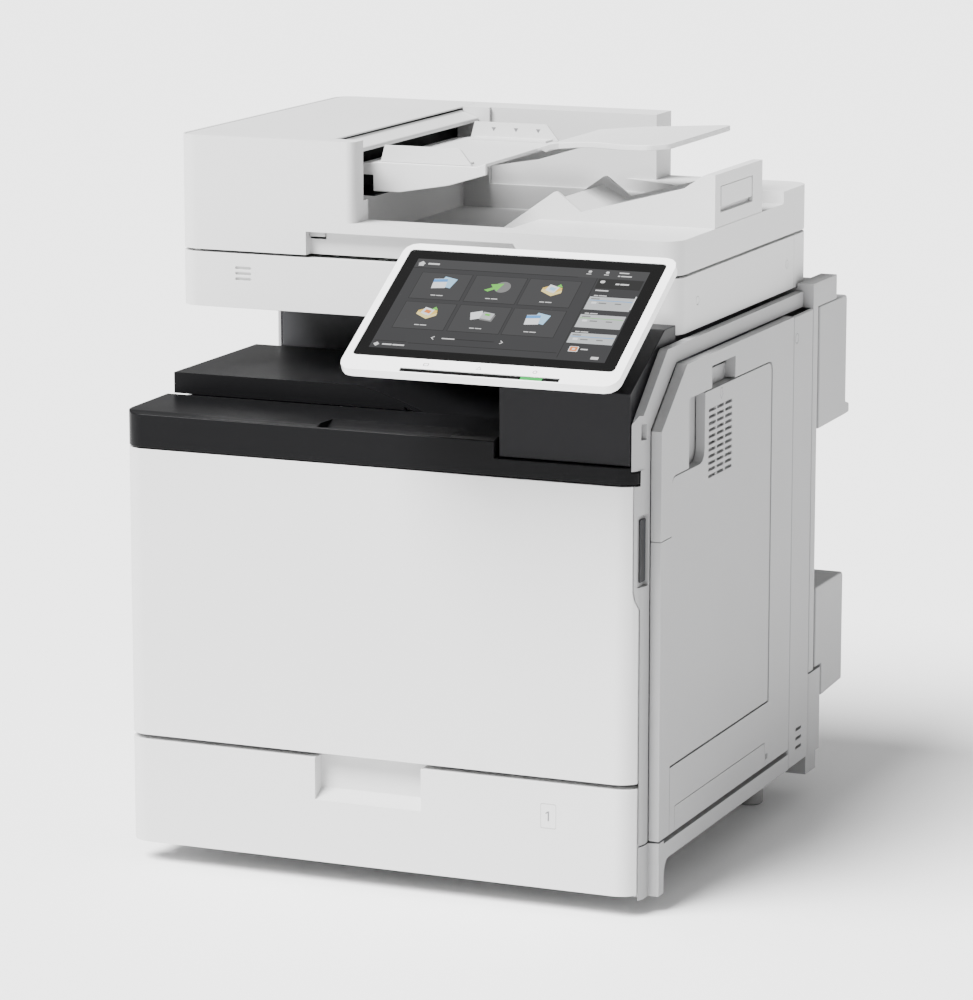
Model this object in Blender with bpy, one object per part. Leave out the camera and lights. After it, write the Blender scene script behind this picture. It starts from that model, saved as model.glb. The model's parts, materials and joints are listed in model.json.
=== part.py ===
"""Desktop colour photocopier with document feeder, tilting panel, drawer and side door.

Metres, +Z up, the front faces -Y. The origin is on the floor under the middle of the bounding box.
"""

import math

import bmesh
import bpy
from mathutils import Vector

# Driving dimensions
WIDTH = 0.511  # of the body, door included
PANEL_OVERHANG = 0.0065  # how far the control panel stands out past the right side
DEPTH = 0.651
HEIGHT = 0.661
PANEL_REACH = 0.0985  # how far the control panel stands out in front of the front cover
SIDE_STEP = 0.010  # how far the side door stands proud of the side trim
GAP = 0.0003  # between pieces that touch
SEAM = 0.0012  # between covers, seen as a dark line
SKIN = 0.003  # plastic cover wall
CORNER = 0.020  # vertical corners of the body and the scanner

# Main planes
LEFT = -WIDTH / 2
RIGHT = WIDTH / 2
FRONT = -DEPTH / 2 + PANEL_REACH
BACK = DEPTH / 2
TRIM_X = RIGHT - SIDE_STEP
COVER_X = TRIM_X - 0.001
SIDE_BACK = 0.2115
REAR_Y = 0.2317
BASE_BACK = 0.2513
SHELF_BACK = -0.1345

# Levels
SILL = 0.0453
DRAWER_Z = (0.0204, 0.1175)
COVER_Z = (0.1219, 0.3883)
TRIM_Z = (0.3897, 0.4190)
SHELF_Z = 0.4235
PLATFORM_Z = 0.4435
DOOR_Z = (0.0655, 0.4835)
SCAN_Z = (0.5030, 0.5535)
LID_Z = 0.5560
EXIT_Z = 0.5870
BLOCK_Z = 0.6480

# Scanner and lid outline
SCAN_X = (LEFT, 0.2370)
SCAN_Y = (-0.1100, 0.2520)

# Joint axes
COVER_AXIS = (0.0, -0.2200, 0.1290)
DOOR_AXIS = (0.2525, 0.1525, 0.2600)
BYPASS_AXIS = (0.2525, -0.0370, 0.1300)
LID_AXIS = (0.0, 0.2590, 0.5540)
FEEDER_AXIS = (-0.2500, 0.0700, 0.6605)
INPUT_AXIS = (-0.0900, 0.0700, 0.6300)
STOP_AXIS = (0.2352, 0.0440, 0.6215)
PANEL_AXIS = (0.1700, -0.1823, 0.5338)
LATCH_AXIS = (0.2425, -0.2030, 0.3300)
LIFT_AXIS = (-0.0900, 0.0150, 0.0560)
SWITCH_AXIS = (0.1350, 0.2575, 0.0720)
PANEL_TILT = math.radians(30.1)
PANEL_ORIGIN = (0.0230, -0.29865, 0.50955)  # the screen picture's front left corner

# Rollers along the depth
STATIONS = (-0.1750, -0.0950, -0.0150, 0.0650)
DRUM_RADIUS = 0.0130
BOTTLE_RADIUS = 0.0220
ENGINE_Y = (-0.1930, 0.2030)


def clear_scene():
    for obj in list(bpy.data.objects):
        bpy.data.objects.remove(obj, do_unlink=True)


def material(name, colour, roughness, metallic=0.0):
    """A plain Principled finish."""
    made = bpy.data.materials.new(name)
    made.use_nodes = True
    shader = made.node_tree.nodes["Principled BSDF"]
    shader.inputs["Base Color"].default_value = (*colour, 1.0)
    shader.inputs["Roughness"].default_value = roughness
    shader.inputs["Metallic"].default_value = metallic
    return made


def finishes():
    """One finish for each family of pieces."""
    return {
        "white": material("white_plastic", (0.78, 0.78, 0.78), 0.45),
        "grey": material("light_grey_plastic", (0.62, 0.62, 0.62), 0.5),
        "black": material("black_plastic", (0.016, 0.016, 0.018), 0.35),
        "charcoal": material("charcoal_plastic", (0.045, 0.045, 0.048), 0.5),
        "glass": material("glass", (0.02, 0.02, 0.022), 0.06),
        "steel": material("sheet_steel", (0.55, 0.56, 0.57), 0.35, 1.0),
        "rubber": material("rubber", (0.03, 0.03, 0.03), 0.8),
        "drum": material("drum_coating", (0.02, 0.10, 0.16), 0.2),
        "roller": material("fuser_sleeve", (0.20, 0.09, 0.03), 0.35),
    }


def pivot(name, place, parent=None):
    """An empty on a joint's axis, at a world place."""
    empty = bpy.data.objects.new(name, None)
    bpy.context.scene.collection.objects.link(empty)
    if parent is not None:
        empty.parent = parent
    empty.location = Vector(place) - world_place(parent)
    return empty


def world_place(parent):
    """Where an unturned empty stands in the world."""
    place = Vector((0.0, 0.0, 0.0))
    while parent is not None:
        place += parent.location
        parent = parent.parent
    return place


def from_bmesh(name, bm, finish, origin=(0.0, 0.0, 0.0), parent=None):
    """Links an object whose mesh is given in world metres, with its origin moved to a chosen place."""
    bmesh.ops.recalc_face_normals(bm, faces=bm.faces)
    bmesh.ops.translate(bm, verts=bm.verts, vec=-Vector(origin))
    mesh = bpy.data.meshes.new(name)
    bm.to_mesh(mesh)
    bm.free()
    obj = bpy.data.objects.new(name, mesh)
    bpy.context.scene.collection.objects.link(obj)
    if finish is not None:
        mesh.materials.append(finish)
    if parent is not None:
        obj.parent = parent
    obj.location = Vector(origin) - world_place(parent)
    return obj


def rounded(corners, steps=4):
    """An outline from corners (a, b) or (a, b, radius), each round corner an arc."""
    points = []
    count = len(corners)
    for index, corner in enumerate(corners):
        here = Vector(corner[:2])
        radius = corner[2] if len(corner) > 2 else 0.0
        if radius == 0.0:
            points.append(here)
            continue
        before = (Vector(corners[index - 1][:2]) - here).normalized()
        after = (Vector(corners[(index + 1) % count][:2]) - here).normalized()
        half = before.angle(after) / 2
        reach = radius / math.tan(half)
        centre = here + (before + after).normalized() * (radius / math.sin(half))
        start = here + before * reach - centre
        turn = start.angle_signed(here + after * reach - centre)
        for step in range(steps + 1):
            angle = -turn * step / steps
            spin = Vector((
                start.x * math.cos(angle) - start.y * math.sin(angle),
                start.x * math.sin(angle) + start.y * math.cos(angle),
            ))
            points.append(centre + spin)
    return points


def at(axis, a, b, along):
    """A point with its coordinate along the axis and (a, b) on the other two, in X, Y, Z order."""
    if axis == "X":
        return Vector((along, a, b))
    if axis == "Y":
        return Vector((a, along, b))
    return Vector((a, b, along))


def prism_mesh(corners, axis, span, steps=4):
    """An outline pushed along an axis from span[0] to span[1]."""
    bm = bmesh.new()
    low = [bm.verts.new(at(axis, p.x, p.y, span[0])) for p in rounded(corners, steps)]
    face = bm.faces.new(low)
    pushed = bmesh.ops.extrude_face_region(bm, geom=[face])
    moved = [item for item in pushed["geom"] if isinstance(item, bmesh.types.BMVert)]
    bmesh.ops.translate(bm, verts=moved, vec=at(axis, 0.0, 0.0, span[1] - span[0]))
    return bm


def prism(name, corners, axis, span, finish=None, steps=4, origin=None, parent=None):
    """A closed prism; its origin is the middle of its box unless one is given."""
    bm = prism_mesh(corners, axis, span, steps)
    if origin is None:
        origin = middle(bm)
    return from_bmesh(name, bm, finish, origin, parent)


def middle(bm):
    low = [min(v.co[i] for v in bm.verts) for i in range(3)]
    high = [max(v.co[i] for v in bm.verts) for i in range(3)]
    return [(low[i] + high[i]) / 2 for i in range(3)]


def box(name, x, y, z, finish=None, origin=None, parent=None, round_z=0.0, steps=4):
    """A block between two x, two y and two z, its upright corners round if round_z is given."""
    corners = [(x[0], y[0], round_z), (x[1], y[0], round_z), (x[1], y[1], round_z), (x[0], y[1], round_z)]
    return prism(name, corners, "Z", z, finish, steps, origin, parent)


def rod(name, axis, centre, radius, span, finish=None, sides=24, origin=None, parent=None):
    """A round bar along an axis; centre is its place on the other two axes."""
    bm = bmesh.new()
    ring = []
    for step in range(sides):
        angle = 2 * math.pi * (step + 0.5) / sides
        a = centre[0] + radius * math.cos(angle)
        b = centre[1] + radius * math.sin(angle)
        ring.append(bm.verts.new(at(axis, a, b, span[0])))
    face = bm.faces.new(ring)
    pushed = bmesh.ops.extrude_face_region(bm, geom=[face])
    moved = [item for item in pushed["geom"] if isinstance(item, bmesh.types.BMVert)]
    bmesh.ops.translate(bm, verts=moved, vec=at(axis, 0.0, 0.0, span[1] - span[0]))
    if origin is None:
        origin = middle(bm)
    obj = from_bmesh(name, bm, finish, origin, parent)
    obj.data.shade_smooth()
    obj.data.set_sharp_from_angle(angle=math.radians(30))
    return obj


def boolean(obj, other, operation):
    """Cuts, joins or keeps what is common, with the other object kept as a hidden helper."""
    other.hide_render = True
    other.display_type = "WIRE"
    made = obj.modifiers.new(f"{operation.lower()}_{other.name}", "BOOLEAN")
    made.object = other
    made.operation = operation
    made.solver = "EXACT"


def cut(obj, *cutters):
    for cutter in cutters:
        boolean(obj, cutter, "DIFFERENCE")


def join(obj, *others):
    for other in others:
        boolean(obj, other, "UNION")


def edge_round(obj, width, segments=2, limit=40):
    """A bevel on every edge sharper than the limit."""
    made = obj.modifiers.new("round_edges", "BEVEL")
    made.width = width
    made.segments = segments
    made.limit_method = "ANGLE"
    made.angle_limit = math.radians(limit)


def front_outline(inset, right_end, back):
    """Plan of a piece behind the front plane, with a round left corner and a right one that stops short."""
    radius = CORNER - inset
    centre = Vector((COVER_X - CORNER, FRONT + CORNER))
    points = [(LEFT + inset, back), (LEFT + inset, FRONT + inset, radius)]
    for step in range(5):
        angle = math.radians(-90 + right_end * step / 4)
        points.append((centre.x + radius * math.cos(angle), centre.y + radius * math.sin(angle)))
    points.append((points[-1][0], back))
    return points


def build_base(paint):
    """The bottom pan that the cassette slides in, its legs and its feet."""
    inner = 0.2195
    section = [
        (-0.2535, SILL), (0.2300, SILL), (0.2300, 0.0500), (inner + 0.004, 0.0500),
        (inner + 0.004, 0.1185), (inner, 0.1185), (inner, 0.0500), (-0.2455, 0.0500),
        (-0.2455, 0.1185), (-0.2535, 0.1185),
    ]
    base = prism("base_frame", section, "Y", (-0.1955, 0.2200), paint["grey"])
    sill = box("base_sill", (0.2190, RIGHT), (-0.1962, 0.1555), (SILL, 0.0605))
    back = box("base_back", (-0.2535, RIGHT), (0.2125, BASE_BACK), (SILL, 0.1265), round_z=0.004, steps=2)
    pocket = box("base_back_pocket", (-0.2455, inner), (0.2000, 0.2430), (0.0500, 0.2000))
    toe = [
        (0.2428, -0.2040), (0.2428, -0.2150), (TRIM_X, -0.2070), (TRIM_X, -0.1965),
        (RIGHT, -0.1955), (RIGHT, -0.1830), (0.2350, -0.1830), (0.2350, -0.2040),
    ]
    leg = prism("base_toe", toe, "Z", (0.0150, 0.0635))
    fillet = [
        (-0.1835, 0.0460), (-0.1710, 0.0460), (-0.1765, 0.0440), (-0.1800, 0.0405), (-0.1822, 0.0350),
        (-0.1835, 0.0280),
    ]
    join(leg, prism("base_toe_fillet", fillet, "X", (0.2350, RIGHT)))
    left_leg = box("base_left_leg", (-0.2500, -0.2300), (-0.1950, -0.1750), (0.0250, 0.0480))
    join(base, sill, back, leg, left_leg)
    for side, x in (("right", (0.1950, 0.2520)), ("left", (-0.2500, -0.1930))):
        join(base, box(f"base_rear_leg_{side}", x, (0.2180, 0.2480), (0.0250, 0.0480)))
    cut(base, pocket)
    feet = (
        ("foot_front_left", -0.2065, -0.1150), ("foot_front_right", 0.2065, -0.1150),
        ("foot_rear_left", -0.2065, 0.1860), ("foot_rear_right", 0.2065, 0.1860),
    )
    for name, x, y in feet:
        foot = rod(name, "Z", (x, y), 0.0130, (0.0, SILL - GAP), paint["rubber"], 24)
        edge_round(foot, 0.002, 1, 60)


def build_covers(paint):
    """The fixed outer covers of the body."""
    lower, upper = 0.4165, 0.5022
    side = [
        (-0.1965, 0.1195), (SIDE_BACK, 0.1195), (SIDE_BACK, upper), (0.0990, upper),
        (0.0990, lower + 0.006, 0.006), (0.0930, lower), (-0.1965, lower),
    ]
    left = prism("left_cover", side, "X", (-0.2535, -0.2500), paint["grey"], 3)
    grip = prism("left_grip", [(-0.06, 0.150, 0.01), (0.06, 0.150, 0.01), (0.06, 0.185, 0.01),
                              (-0.06, 0.185, 0.01)],
                 "X", (-0.2600, -0.2400), None, 3)
    cut(left, grip)
    build_side_trim(paint)
    plate = [
        (RIGHT, 0.1565), (RIGHT, SIDE_BACK), (RIGHT - 0.004, SIDE_BACK), (RIGHT - 0.004, 0.1605),
        (0.2315, 0.1605), (0.2315, 0.1565),
    ]
    strip = prism("right_rear_cover", plate, "Z", (SILL, DOOR_Z[1]), paint["grey"])
    edge_round(strip, 0.001, 1, 60)
    wrap = [
        (LEFT + 0.002, 0.2125), (LEFT + 0.002, REAR_Y, 0.006), (RIGHT, REAR_Y, 0.006), (RIGHT, 0.2125),
        (RIGHT - 0.004, 0.2125), (RIGHT - 0.004, REAR_Y - 0.004), (LEFT + 0.006, REAR_Y - 0.004),
        (LEFT + 0.006, 0.2125),
    ]
    rear = prism("rear_cover", wrap, "Z", (0.1280, 0.4840), paint["grey"], 2)
    ledge = box("rear_ledge", (LEFT + 0.002, RIGHT), (0.2125, 0.2820), (0.4834, 0.5022))
    join(rear, ledge, box("rear_ledge_corner", (0.2385, RIGHT), (0.2125, 0.2820), (0.4950, 0.5070)))
    build_rear_boxes(paint)


def build_side_trim(paint):
    """The trim between the front cover and the side door, and up over the door."""
    corner = [
        (0.2360, -0.1975), (0.2360, -0.2040), (0.2431, -0.2040), (0.2431, -0.2144), (0.2441, -0.2110),
        (TRIM_X, -0.2070), (TRIM_X, -0.1975),
    ]
    trim = prism("side_trim", corner, "Z", (0.0650, 0.4020), paint["grey"])
    wide = [
        (0.2391, -0.2030), (0.2391, -0.2200), (0.2416, -0.2170), (0.2431, -0.2144), (0.2441, -0.2110),
        (0.2441, -0.2030),
    ]
    shoulder = prism("side_trim_shoulder", wide, "Z", (0.2700, 0.3880))
    foot = shoulder_line(0.0008) + [(0.2450, 0.2600), (0.2300, 0.2600), (0.2300, 0.2945)]
    cut(shoulder, prism("shoulder_foot", foot, "Y", (-0.2300, -0.2000)))
    join(trim, shoulder)
    profile = [
        (-0.2245, 0.4015), (-0.1975, 0.4015), (-0.1975, 0.4345), (-0.1345, 0.4850), (0.2110, 0.4850),
        (0.2110, 0.4995), (-0.1560, 0.4995, 0.008), (-0.2245, 0.4415, 0.010),
    ]
    upper = prism("side_trim_top", profile, "X", (0.2375, TRIM_X), None, 3)
    cut(upper, prism("trim_corner", [(0.2370, -0.2300), (0.2370, -0.2235), (TRIM_X, -0.2070), (0.2500, -0.2070),
                                     (0.2500, -0.2300)], "Z", (0.3900, 0.4500)))
    join(trim, upper)
    cut(trim, box("latch_pocket", (0.2412, 0.2600), (-0.2300, -0.2006), (0.2980, 0.3620)))
    cut(trim, box("usb_slot", (0.2405, 0.2500), (-0.2125, -0.2060), (0.4280, 0.4420)))


def shoulder_line(inset):
    """The curve where the front cover's right edge steps in, in X and Z, moved right by an inset."""
    return [(x + inset, z) for x, z in ((0.2385, 0.2940), (0.2395, 0.2870), (0.2418, 0.2800), (0.2432, 0.2740))]


def build_rear_boxes(paint):
    """The two electronics and fan boxes on the back, and the ledge above them."""
    front = REAR_Y + 0.0005
    profile = [
        (front, 0.3640), (0.3145, 0.3650), (BACK, 0.3655), (BACK, 0.3745), (0.3145, 0.3775),
        (0.3145, 0.4830, 0.004), (front, 0.4830),
    ]
    prism("rear_box_upper", profile, "X", (-0.1000, RIGHT), paint["grey"], 2)
    profile = [
        (BASE_BACK + 0.0007, 0.0970), (0.3145, 0.1000), (0.3145, 0.2085, 0.004), (front, 0.2085),
        (front, 0.1290), (BASE_BACK + 0.0007, 0.1290),
    ]
    prism("rear_box_lower", profile, "X", (0.0200, RIGHT), paint["grey"], 2)
    inlet = box("power_inlet", (0.1200, 0.2120), (0.2518, 0.2600), (0.0560, 0.0880), paint["black"])
    cut(inlet, box("inlet_mouth", (0.1790, 0.2080), (0.2538, 0.2700), (0.0640, 0.0800)))
    cut(inlet, box("switch_well", (0.1250, 0.1450), (0.2535, 0.2700), (0.0590, 0.0850)))
    rocker = [
        (0.2555, 0.0620), (0.2620, 0.0620), (0.2600, 0.0720), (0.2620, 0.0820), (0.2555, 0.0820),
        (0.2545, 0.0720),
    ]
    prism("power_switch", rocker, "X", (0.1275, 0.1425), paint["black"], origin=SWITCH_AXIS,
          parent=pivot("switch_pivot", SWITCH_AXIS))


def build_front(paint):
    """The front cover that drops open, and the black trim and tray above it."""
    hinge = pivot("front_cover_hinge", COVER_AXIS)
    back = -0.2110
    cover = prism("front_cover", front_outline(0.0, 62, back), "Z", COVER_Z, paint["white"], 5,
                  origin=COVER_AXIS, parent=hinge)
    hollow = front_outline(SKIN, 58, back + 0.01)
    hollow[-1] = (COVER_X - 0.0075, back + 0.01)
    hollow[-2] = (COVER_X - 0.0075, FRONT + 0.0052)
    cut(cover, prism("cover_hollow", hollow, "Z", (COVER_Z[0] + SKIN, COVER_Z[1] - SKIN), None, 5))
    notch = shoulder_line(0.0) + [(0.2500, 0.2740), (0.2500, 0.4000), (0.2385, 0.4000)]
    cut(cover, prism("cover_shoulder_cut", notch, "Y", (-0.2300, -0.2000)))
    build_trim(paint)
    build_tray(paint)


def build_trim(paint):
    """The black band and shelf over the front cover, with its finger recess."""
    plan = front_outline(0.0, 62, -0.2045)
    plan[0] = (LEFT, SHELF_BACK)
    plan += [(0.2345, -0.2045), (0.2345, SHELF_BACK)]
    band = prism("front_trim", plan, "Z", (TRIM_Z[0], SHELF_Z), paint["black"], 5)
    slope = [
        (FRONT - 0.01, 0.4205), (FRONT + 0.003, 0.4205), (FRONT + 0.010, 0.4222), (SHELF_BACK + 0.01, SHELF_Z),
        (SHELF_BACK + 0.01, 0.4400), (FRONT - 0.01, 0.4400),
    ]
    under = box("shelf_under", (LEFT - 0.01, 0.2600), (-0.1850, 0.0), (0.3800, 0.4195))
    cover_seat = box("left_cover_seat", (LEFT - 0.01, -0.2440), (-0.1975, 0.0), (0.3800, 0.4195))
    seat = box("panel_box_seat", (0.1105, 0.2600), (-0.2400, 0.0), (0.4055, 0.4400))
    corner = box("trim_corner_seat", (0.2370, 0.2600), (-0.2400, 0.0), (0.4008, 0.4400))
    scoop = [(-0.2242, 0.4300), (-0.2238, 0.4130), (-0.2150, 0.4110), (-0.1900, 0.4240), (-0.1900, 0.4300)]
    grip = prism("trim_grip", scoop, "X", (-0.0610, 0.0670))
    cut(band, prism("shelf_slope", slope, "X", (LEFT - 0.01, 0.2600)), under, cover_seat, seat, corner, grip)

def with_thickness(top, thick):
    """A closed outline from its upper line and its thickness."""
    return top + [(x, z - thick) for x, z in reversed(top)]


def build_tray(paint):
    """The output tray with its scoop, the walls round the output space and the panel's foot."""
    left, step_y = -0.2485, 0.0400
    slide = [(-0.0446, 0.4400), (-0.0186, 0.4316), (0.0084, 0.4215), (0.0400, 0.4120), (0.2245, 0.4080)]
    high = [(left, PLATFORM_Z), (-0.0620, PLATFORM_Z)] + slide
    low = [(left, 0.4335), (-0.0245, 0.4335)] + slide[1:]
    tray = prism("output_tray", with_thickness(high, 0.004), "Y", (SHELF_BACK + 0.0005, step_y), paint["black"])
    rear = prism("tray_rear", with_thickness(low, 0.004), "Y", (step_y - 0.002, 0.0985))
    front_wall = [(left, SHELF_Z + 0.0005), (-0.0150, SHELF_Z + 0.0005), (-0.0186, 0.4290), (-0.0446, 0.4380),
                  (-0.0620, 0.4420), (left, 0.4420)]
    riser = prism("tray_riser", front_wall, "Y", (SHELF_BACK + 0.0005, SHELF_BACK + 0.0045))
    step_wall = [(left, 0.4300), (-0.0186, 0.4300), (-0.0446, 0.4380), (-0.0620, 0.4420), (left, 0.4420)]
    join(tray, rear, riser, prism("tray_step", step_wall, "Y", (step_y - 0.004, step_y)))
    cut(tray, box("tray_corner", (0.1105, 0.3000), (-0.2000, -0.1120), (0.3900, 0.4500)))
    walls = [
        (-0.2490, 0.0990), (-0.2490, 0.1030), (0.2290, 0.1030), (0.2290, -0.1080), (0.2250, -0.1080),
        (0.2250, 0.0990),
    ]
    wall = prism("inner_wall", walls, "Z", (0.3900, 0.5022), paint["charcoal"])
    cut(wall, box("paper_exit", (0.2200, 0.2400), (-0.0700, 0.0850), (0.4300, 0.4450)))
    foot = [
        (FRONT + 0.0035, 0.4065), (FRONT + 0.0035, 0.4700), (-0.1400, 0.5140, 0.006), (-0.1125, 0.5140),
        (-0.1125, 0.4065),
    ]
    stand = prism("panel_box", foot, "X", (0.1140, 0.2365), paint["charcoal"], 3)
    neck = box("panel_neck", (0.1400, 0.2000), (-0.1920, -0.1726), (0.4800, PANEL_AXIS[2]))
    knuckle = rod("panel_knuckle", "X", PANEL_AXIS[1:], 0.0100, (0.1400, 0.2000), None, 16)
    join(stand, neck, knuckle)


def build_cassette(paint):
    """The paper drawer, its lift plate and its three paper guides."""
    front_back = -0.2050
    slide = pivot("cassette_slide", (0.0, front_back, DRAWER_Z[1]))
    face = prism("cassette_front", front_outline(0.0, 62, front_back), "Z", DRAWER_Z, paint["white"], 5,
                 parent=slide)
    hand = [
        (-0.2400, 0.0790), (-0.2260, 0.0785), (-0.2130, 0.0870), (-0.2110, 0.1000), (-0.2110, 0.1300),
        (-0.2400, 0.1300),
    ]
    cut(face, prism("hand_recess", hand, "X", (-0.0645, 0.0395)))
    outer = ((-0.2400, 0.2140), (front_back + GAP, 0.2350), (0.0510, 0.1100))
    wall = 0.0025
    tray = box("cassette_body", *outer, paint["charcoal"], parent=slide)
    inside = [(low + wall, high - wall) for low, high in outer[:2]]
    cut(tray, box("cassette_inside", *inside, (0.0510 + wall, 0.2)))
    floor = 0.0510 + wall + GAP
    lift = pivot("lift_hinge", LIFT_AXIS, slide)
    profile = [
        (-0.0915, 0.0545), (0.1850, 0.0545), (0.1850, 0.0557), (-0.0880, 0.0557), (-0.0885, 0.0575),
        (-0.0915, 0.0575),
    ]
    plate = prism("lift_plate", profile, "Y", (-0.0550, 0.0850), paint["steel"], origin=LIFT_AXIS, parent=lift)
    cut(plate, box("end_guide_slot", (-0.1000, 0.0050), (-0.0090, 0.0390), (0.0500, 0.0600)))
    bend = (floor, floor + 0.045)
    for name, y in (("cassette_guide_front", (-0.0960, -0.0925)), ("cassette_guide_rear", (0.1225, 0.1260))):
        prism(name, [(-0.0700, bend[0]), (0.1000, bend[0]), (0.1000, bend[1], 0.008), (-0.0700, bend[1], 0.008)],
              "Y", y, paint["charcoal"], 3, parent=slide)
    stop = [(-0.0050, bend[0]), (0.0350, bend[0]), (0.0350, bend[1], 0.008), (-0.0050, bend[1], 0.008)]
    prism("cassette_end_guide", stop, "X", (-0.1000, -0.0950), paint["charcoal"], 3, parent=slide)


def build_engine(paint):
    """The plates, rollers, drums, belt and toner bottles between the covers."""
    low, high = ENGINE_Y
    floor = box("engine_floor", (-0.2440, 0.2185), (low, high), (0.1205, 0.1225), paint["steel"])
    cut(floor, box("paper_shaft", (0.1250, 0.2000), (-0.1200, 0.1500), (0.1000, 0.1400)))
    bottle_z, drum_z = 0.3200, 0.2050
    front = prism("engine_front_plate", [(-0.2350, 0.1228), (0.2150, 0.1228), (0.2150, 0.3800), (-0.2350, 0.3800)],
                  "Y", (low, low + 0.003), paint["charcoal"])
    for index, x in enumerate(STATIONS):
        cut(front, rod(f"bottle_port_{index}", "Y", (x, bottle_z), BOTTLE_RADIUS + 0.001, (low - 0.01, low + 0.01),
                       None, 24))
    rear = prism("engine_rear_plate", [(-0.2350, 0.1228), (0.2150, 0.1228), (0.2150, 0.3800), (-0.2350, 0.3800)],
                 "Y", (high - 0.003, high), paint["steel"])
    edge_round(rear, 0.0005, 1, 60)
    box("laser_unit", (-0.1900, 0.1150), (-0.1300, 0.1500), (0.1230, 0.1650), paint["charcoal"])
    span = (low + 0.0035, high - 0.0035)
    for index, x in enumerate(STATIONS):
        number = index + 1
        bottle = rod(f"toner_bottle_{number}", "Y", (x, bottle_z), BOTTLE_RADIUS, (low - 0.004, 0.1500),
                     paint["black"], 24)
        for side, near in (("left", -0.017), ("right", 0.017)):
            wide = (x + near - 0.013, x + near + 0.013)
            cut(bottle, box(f"bottle_grip_{number}_{side}", wide, (low - 0.02, low - 0.0005), (0.28, 0.36)))
        turn = pivot(f"drum_axis_{number}", (x, 0.0, drum_z))
        rod(f"drum_{number}", "Y", (x, drum_z), DRUM_RADIUS, span, paint["drum"], 24, parent=turn)
    build_belt(paint, drum_z + DRUM_RADIUS + 0.0005, span)
    rollers = (
        ("fixing_roller", 0.1500, 0.3150, 0.0130, "roller"),
        ("pressure_roller", 0.1775, 0.3150, 0.0140, "roller"),
        ("delivery_roller", 0.1700, 0.3600, 0.0080, "rubber"),
    )
    for name, x, z, radius, finish in rollers:
        rod(name, "Y", (x, z), radius, span, paint[finish], 24, parent=pivot(f"{name}_axis", (x, 0.0, z)))
    picker = pivot("pickup_roller_axis", (0.1600, 0.0150, 0.1240))
    rod("pickup_roller", "Y", (0.1600, 0.1240), 0.0120, (-0.0150, 0.0450), paint["rubber"], 24, parent=picker)


def build_belt(paint, bottom, span):
    """The transfer belt: a thin closed loop round the space between its two end rollers."""
    outer_radius, thick = 0.0160, 0.0012
    centre_z = bottom + outer_radius
    ends = (-0.2000, 0.1100)
    corners = [
        (ends[0], centre_z - outer_radius, outer_radius * 0.999),
        (ends[1], centre_z - outer_radius, outer_radius * 0.999),
        (ends[1], centre_z + outer_radius, outer_radius * 0.999),
        (ends[0], centre_z + outer_radius, outer_radius * 0.999),
    ]
    belt = prism("transfer_belt", corners, "Y", span, paint["black"], 6)
    inner = outer_radius - thick
    inner_corners = [
        (ends[0] + thick, centre_z - inner, inner * 0.999), (ends[1] - thick, centre_z - inner, inner * 0.999),
        (ends[1] - thick, centre_z + inner, inner * 0.999), (ends[0] + thick, centre_z + inner, inner * 0.999),
    ]
    cut(belt, prism("belt_inside", inner_corners, "Y", (span[0] - 0.01, span[1] + 0.01), None, 6))


def build_door(paint):
    """The side door, the bypass tray that folds out of it, and the door's latch."""
    hinge = pivot("door_hinge", DOOR_AXIS)
    outline = [
        (-0.1963, DOOR_Z[0]), (-0.1963, 0.4335), (-0.1340, DOOR_Z[1]), (0.1545, DOOR_Z[1]), (0.1545, DOOR_Z[0]),
    ]
    door = prism("side_door", outline, "X", (0.2460, RIGHT), paint["grey"], origin=DOOR_AXIS, parent=hinge)
    inside = [(-0.1860, 0.0750), (-0.1860, 0.4300), (-0.1380, 0.4650), (0.1480, 0.4650), (0.1480, 0.0750)]
    join(door, prism("door_liner", inside, "X", (0.2375, 0.2480)))
    floor_x = 0.2450
    recess = [
        (-0.1700, 0.1262), (-0.1700, 0.3895, 0.009), (-0.1275, 0.3895), (-0.1275, 0.4520),
        (0.0960, 0.4520, 0.009),
        (0.0960, 0.1262),
    ]
    finger = box("bypass_finger", (floor_x, 0.2700), (-0.0692, -0.0075), (0.4450, 0.4720))
    slot = box("bypass_slot", (0.2200, 0.2600), (-0.1450, 0.0700), (0.1450, 0.1750))
    cut(door, prism("bypass_recess", recess, "X", (floor_x, 0.2700), None, 3), finger, slot)
    panel = [
        (-0.1688, 0.1275), (-0.1688, 0.3880, 0.009), (-0.0850, 0.3880, 0.012), (-0.0850, 0.4505),
        (0.0945, 0.4505, 0.008), (0.0945, 0.1275),
    ]
    prism("bypass_tray", panel, "X", (0.2459, 0.2550), paint["grey"], 3, origin=BYPASS_AXIS,
          parent=pivot("bypass_hinge", BYPASS_AXIS, hinge))
    latch = box("door_latch", (0.2416, 0.2434), (-0.2140, -0.2020), (0.3020, 0.3580), paint["charcoal"],
                LATCH_AXIS, pivot("latch_pivot", LATCH_AXIS))
    edge_round(latch, 0.0005, 1, 60)


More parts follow.
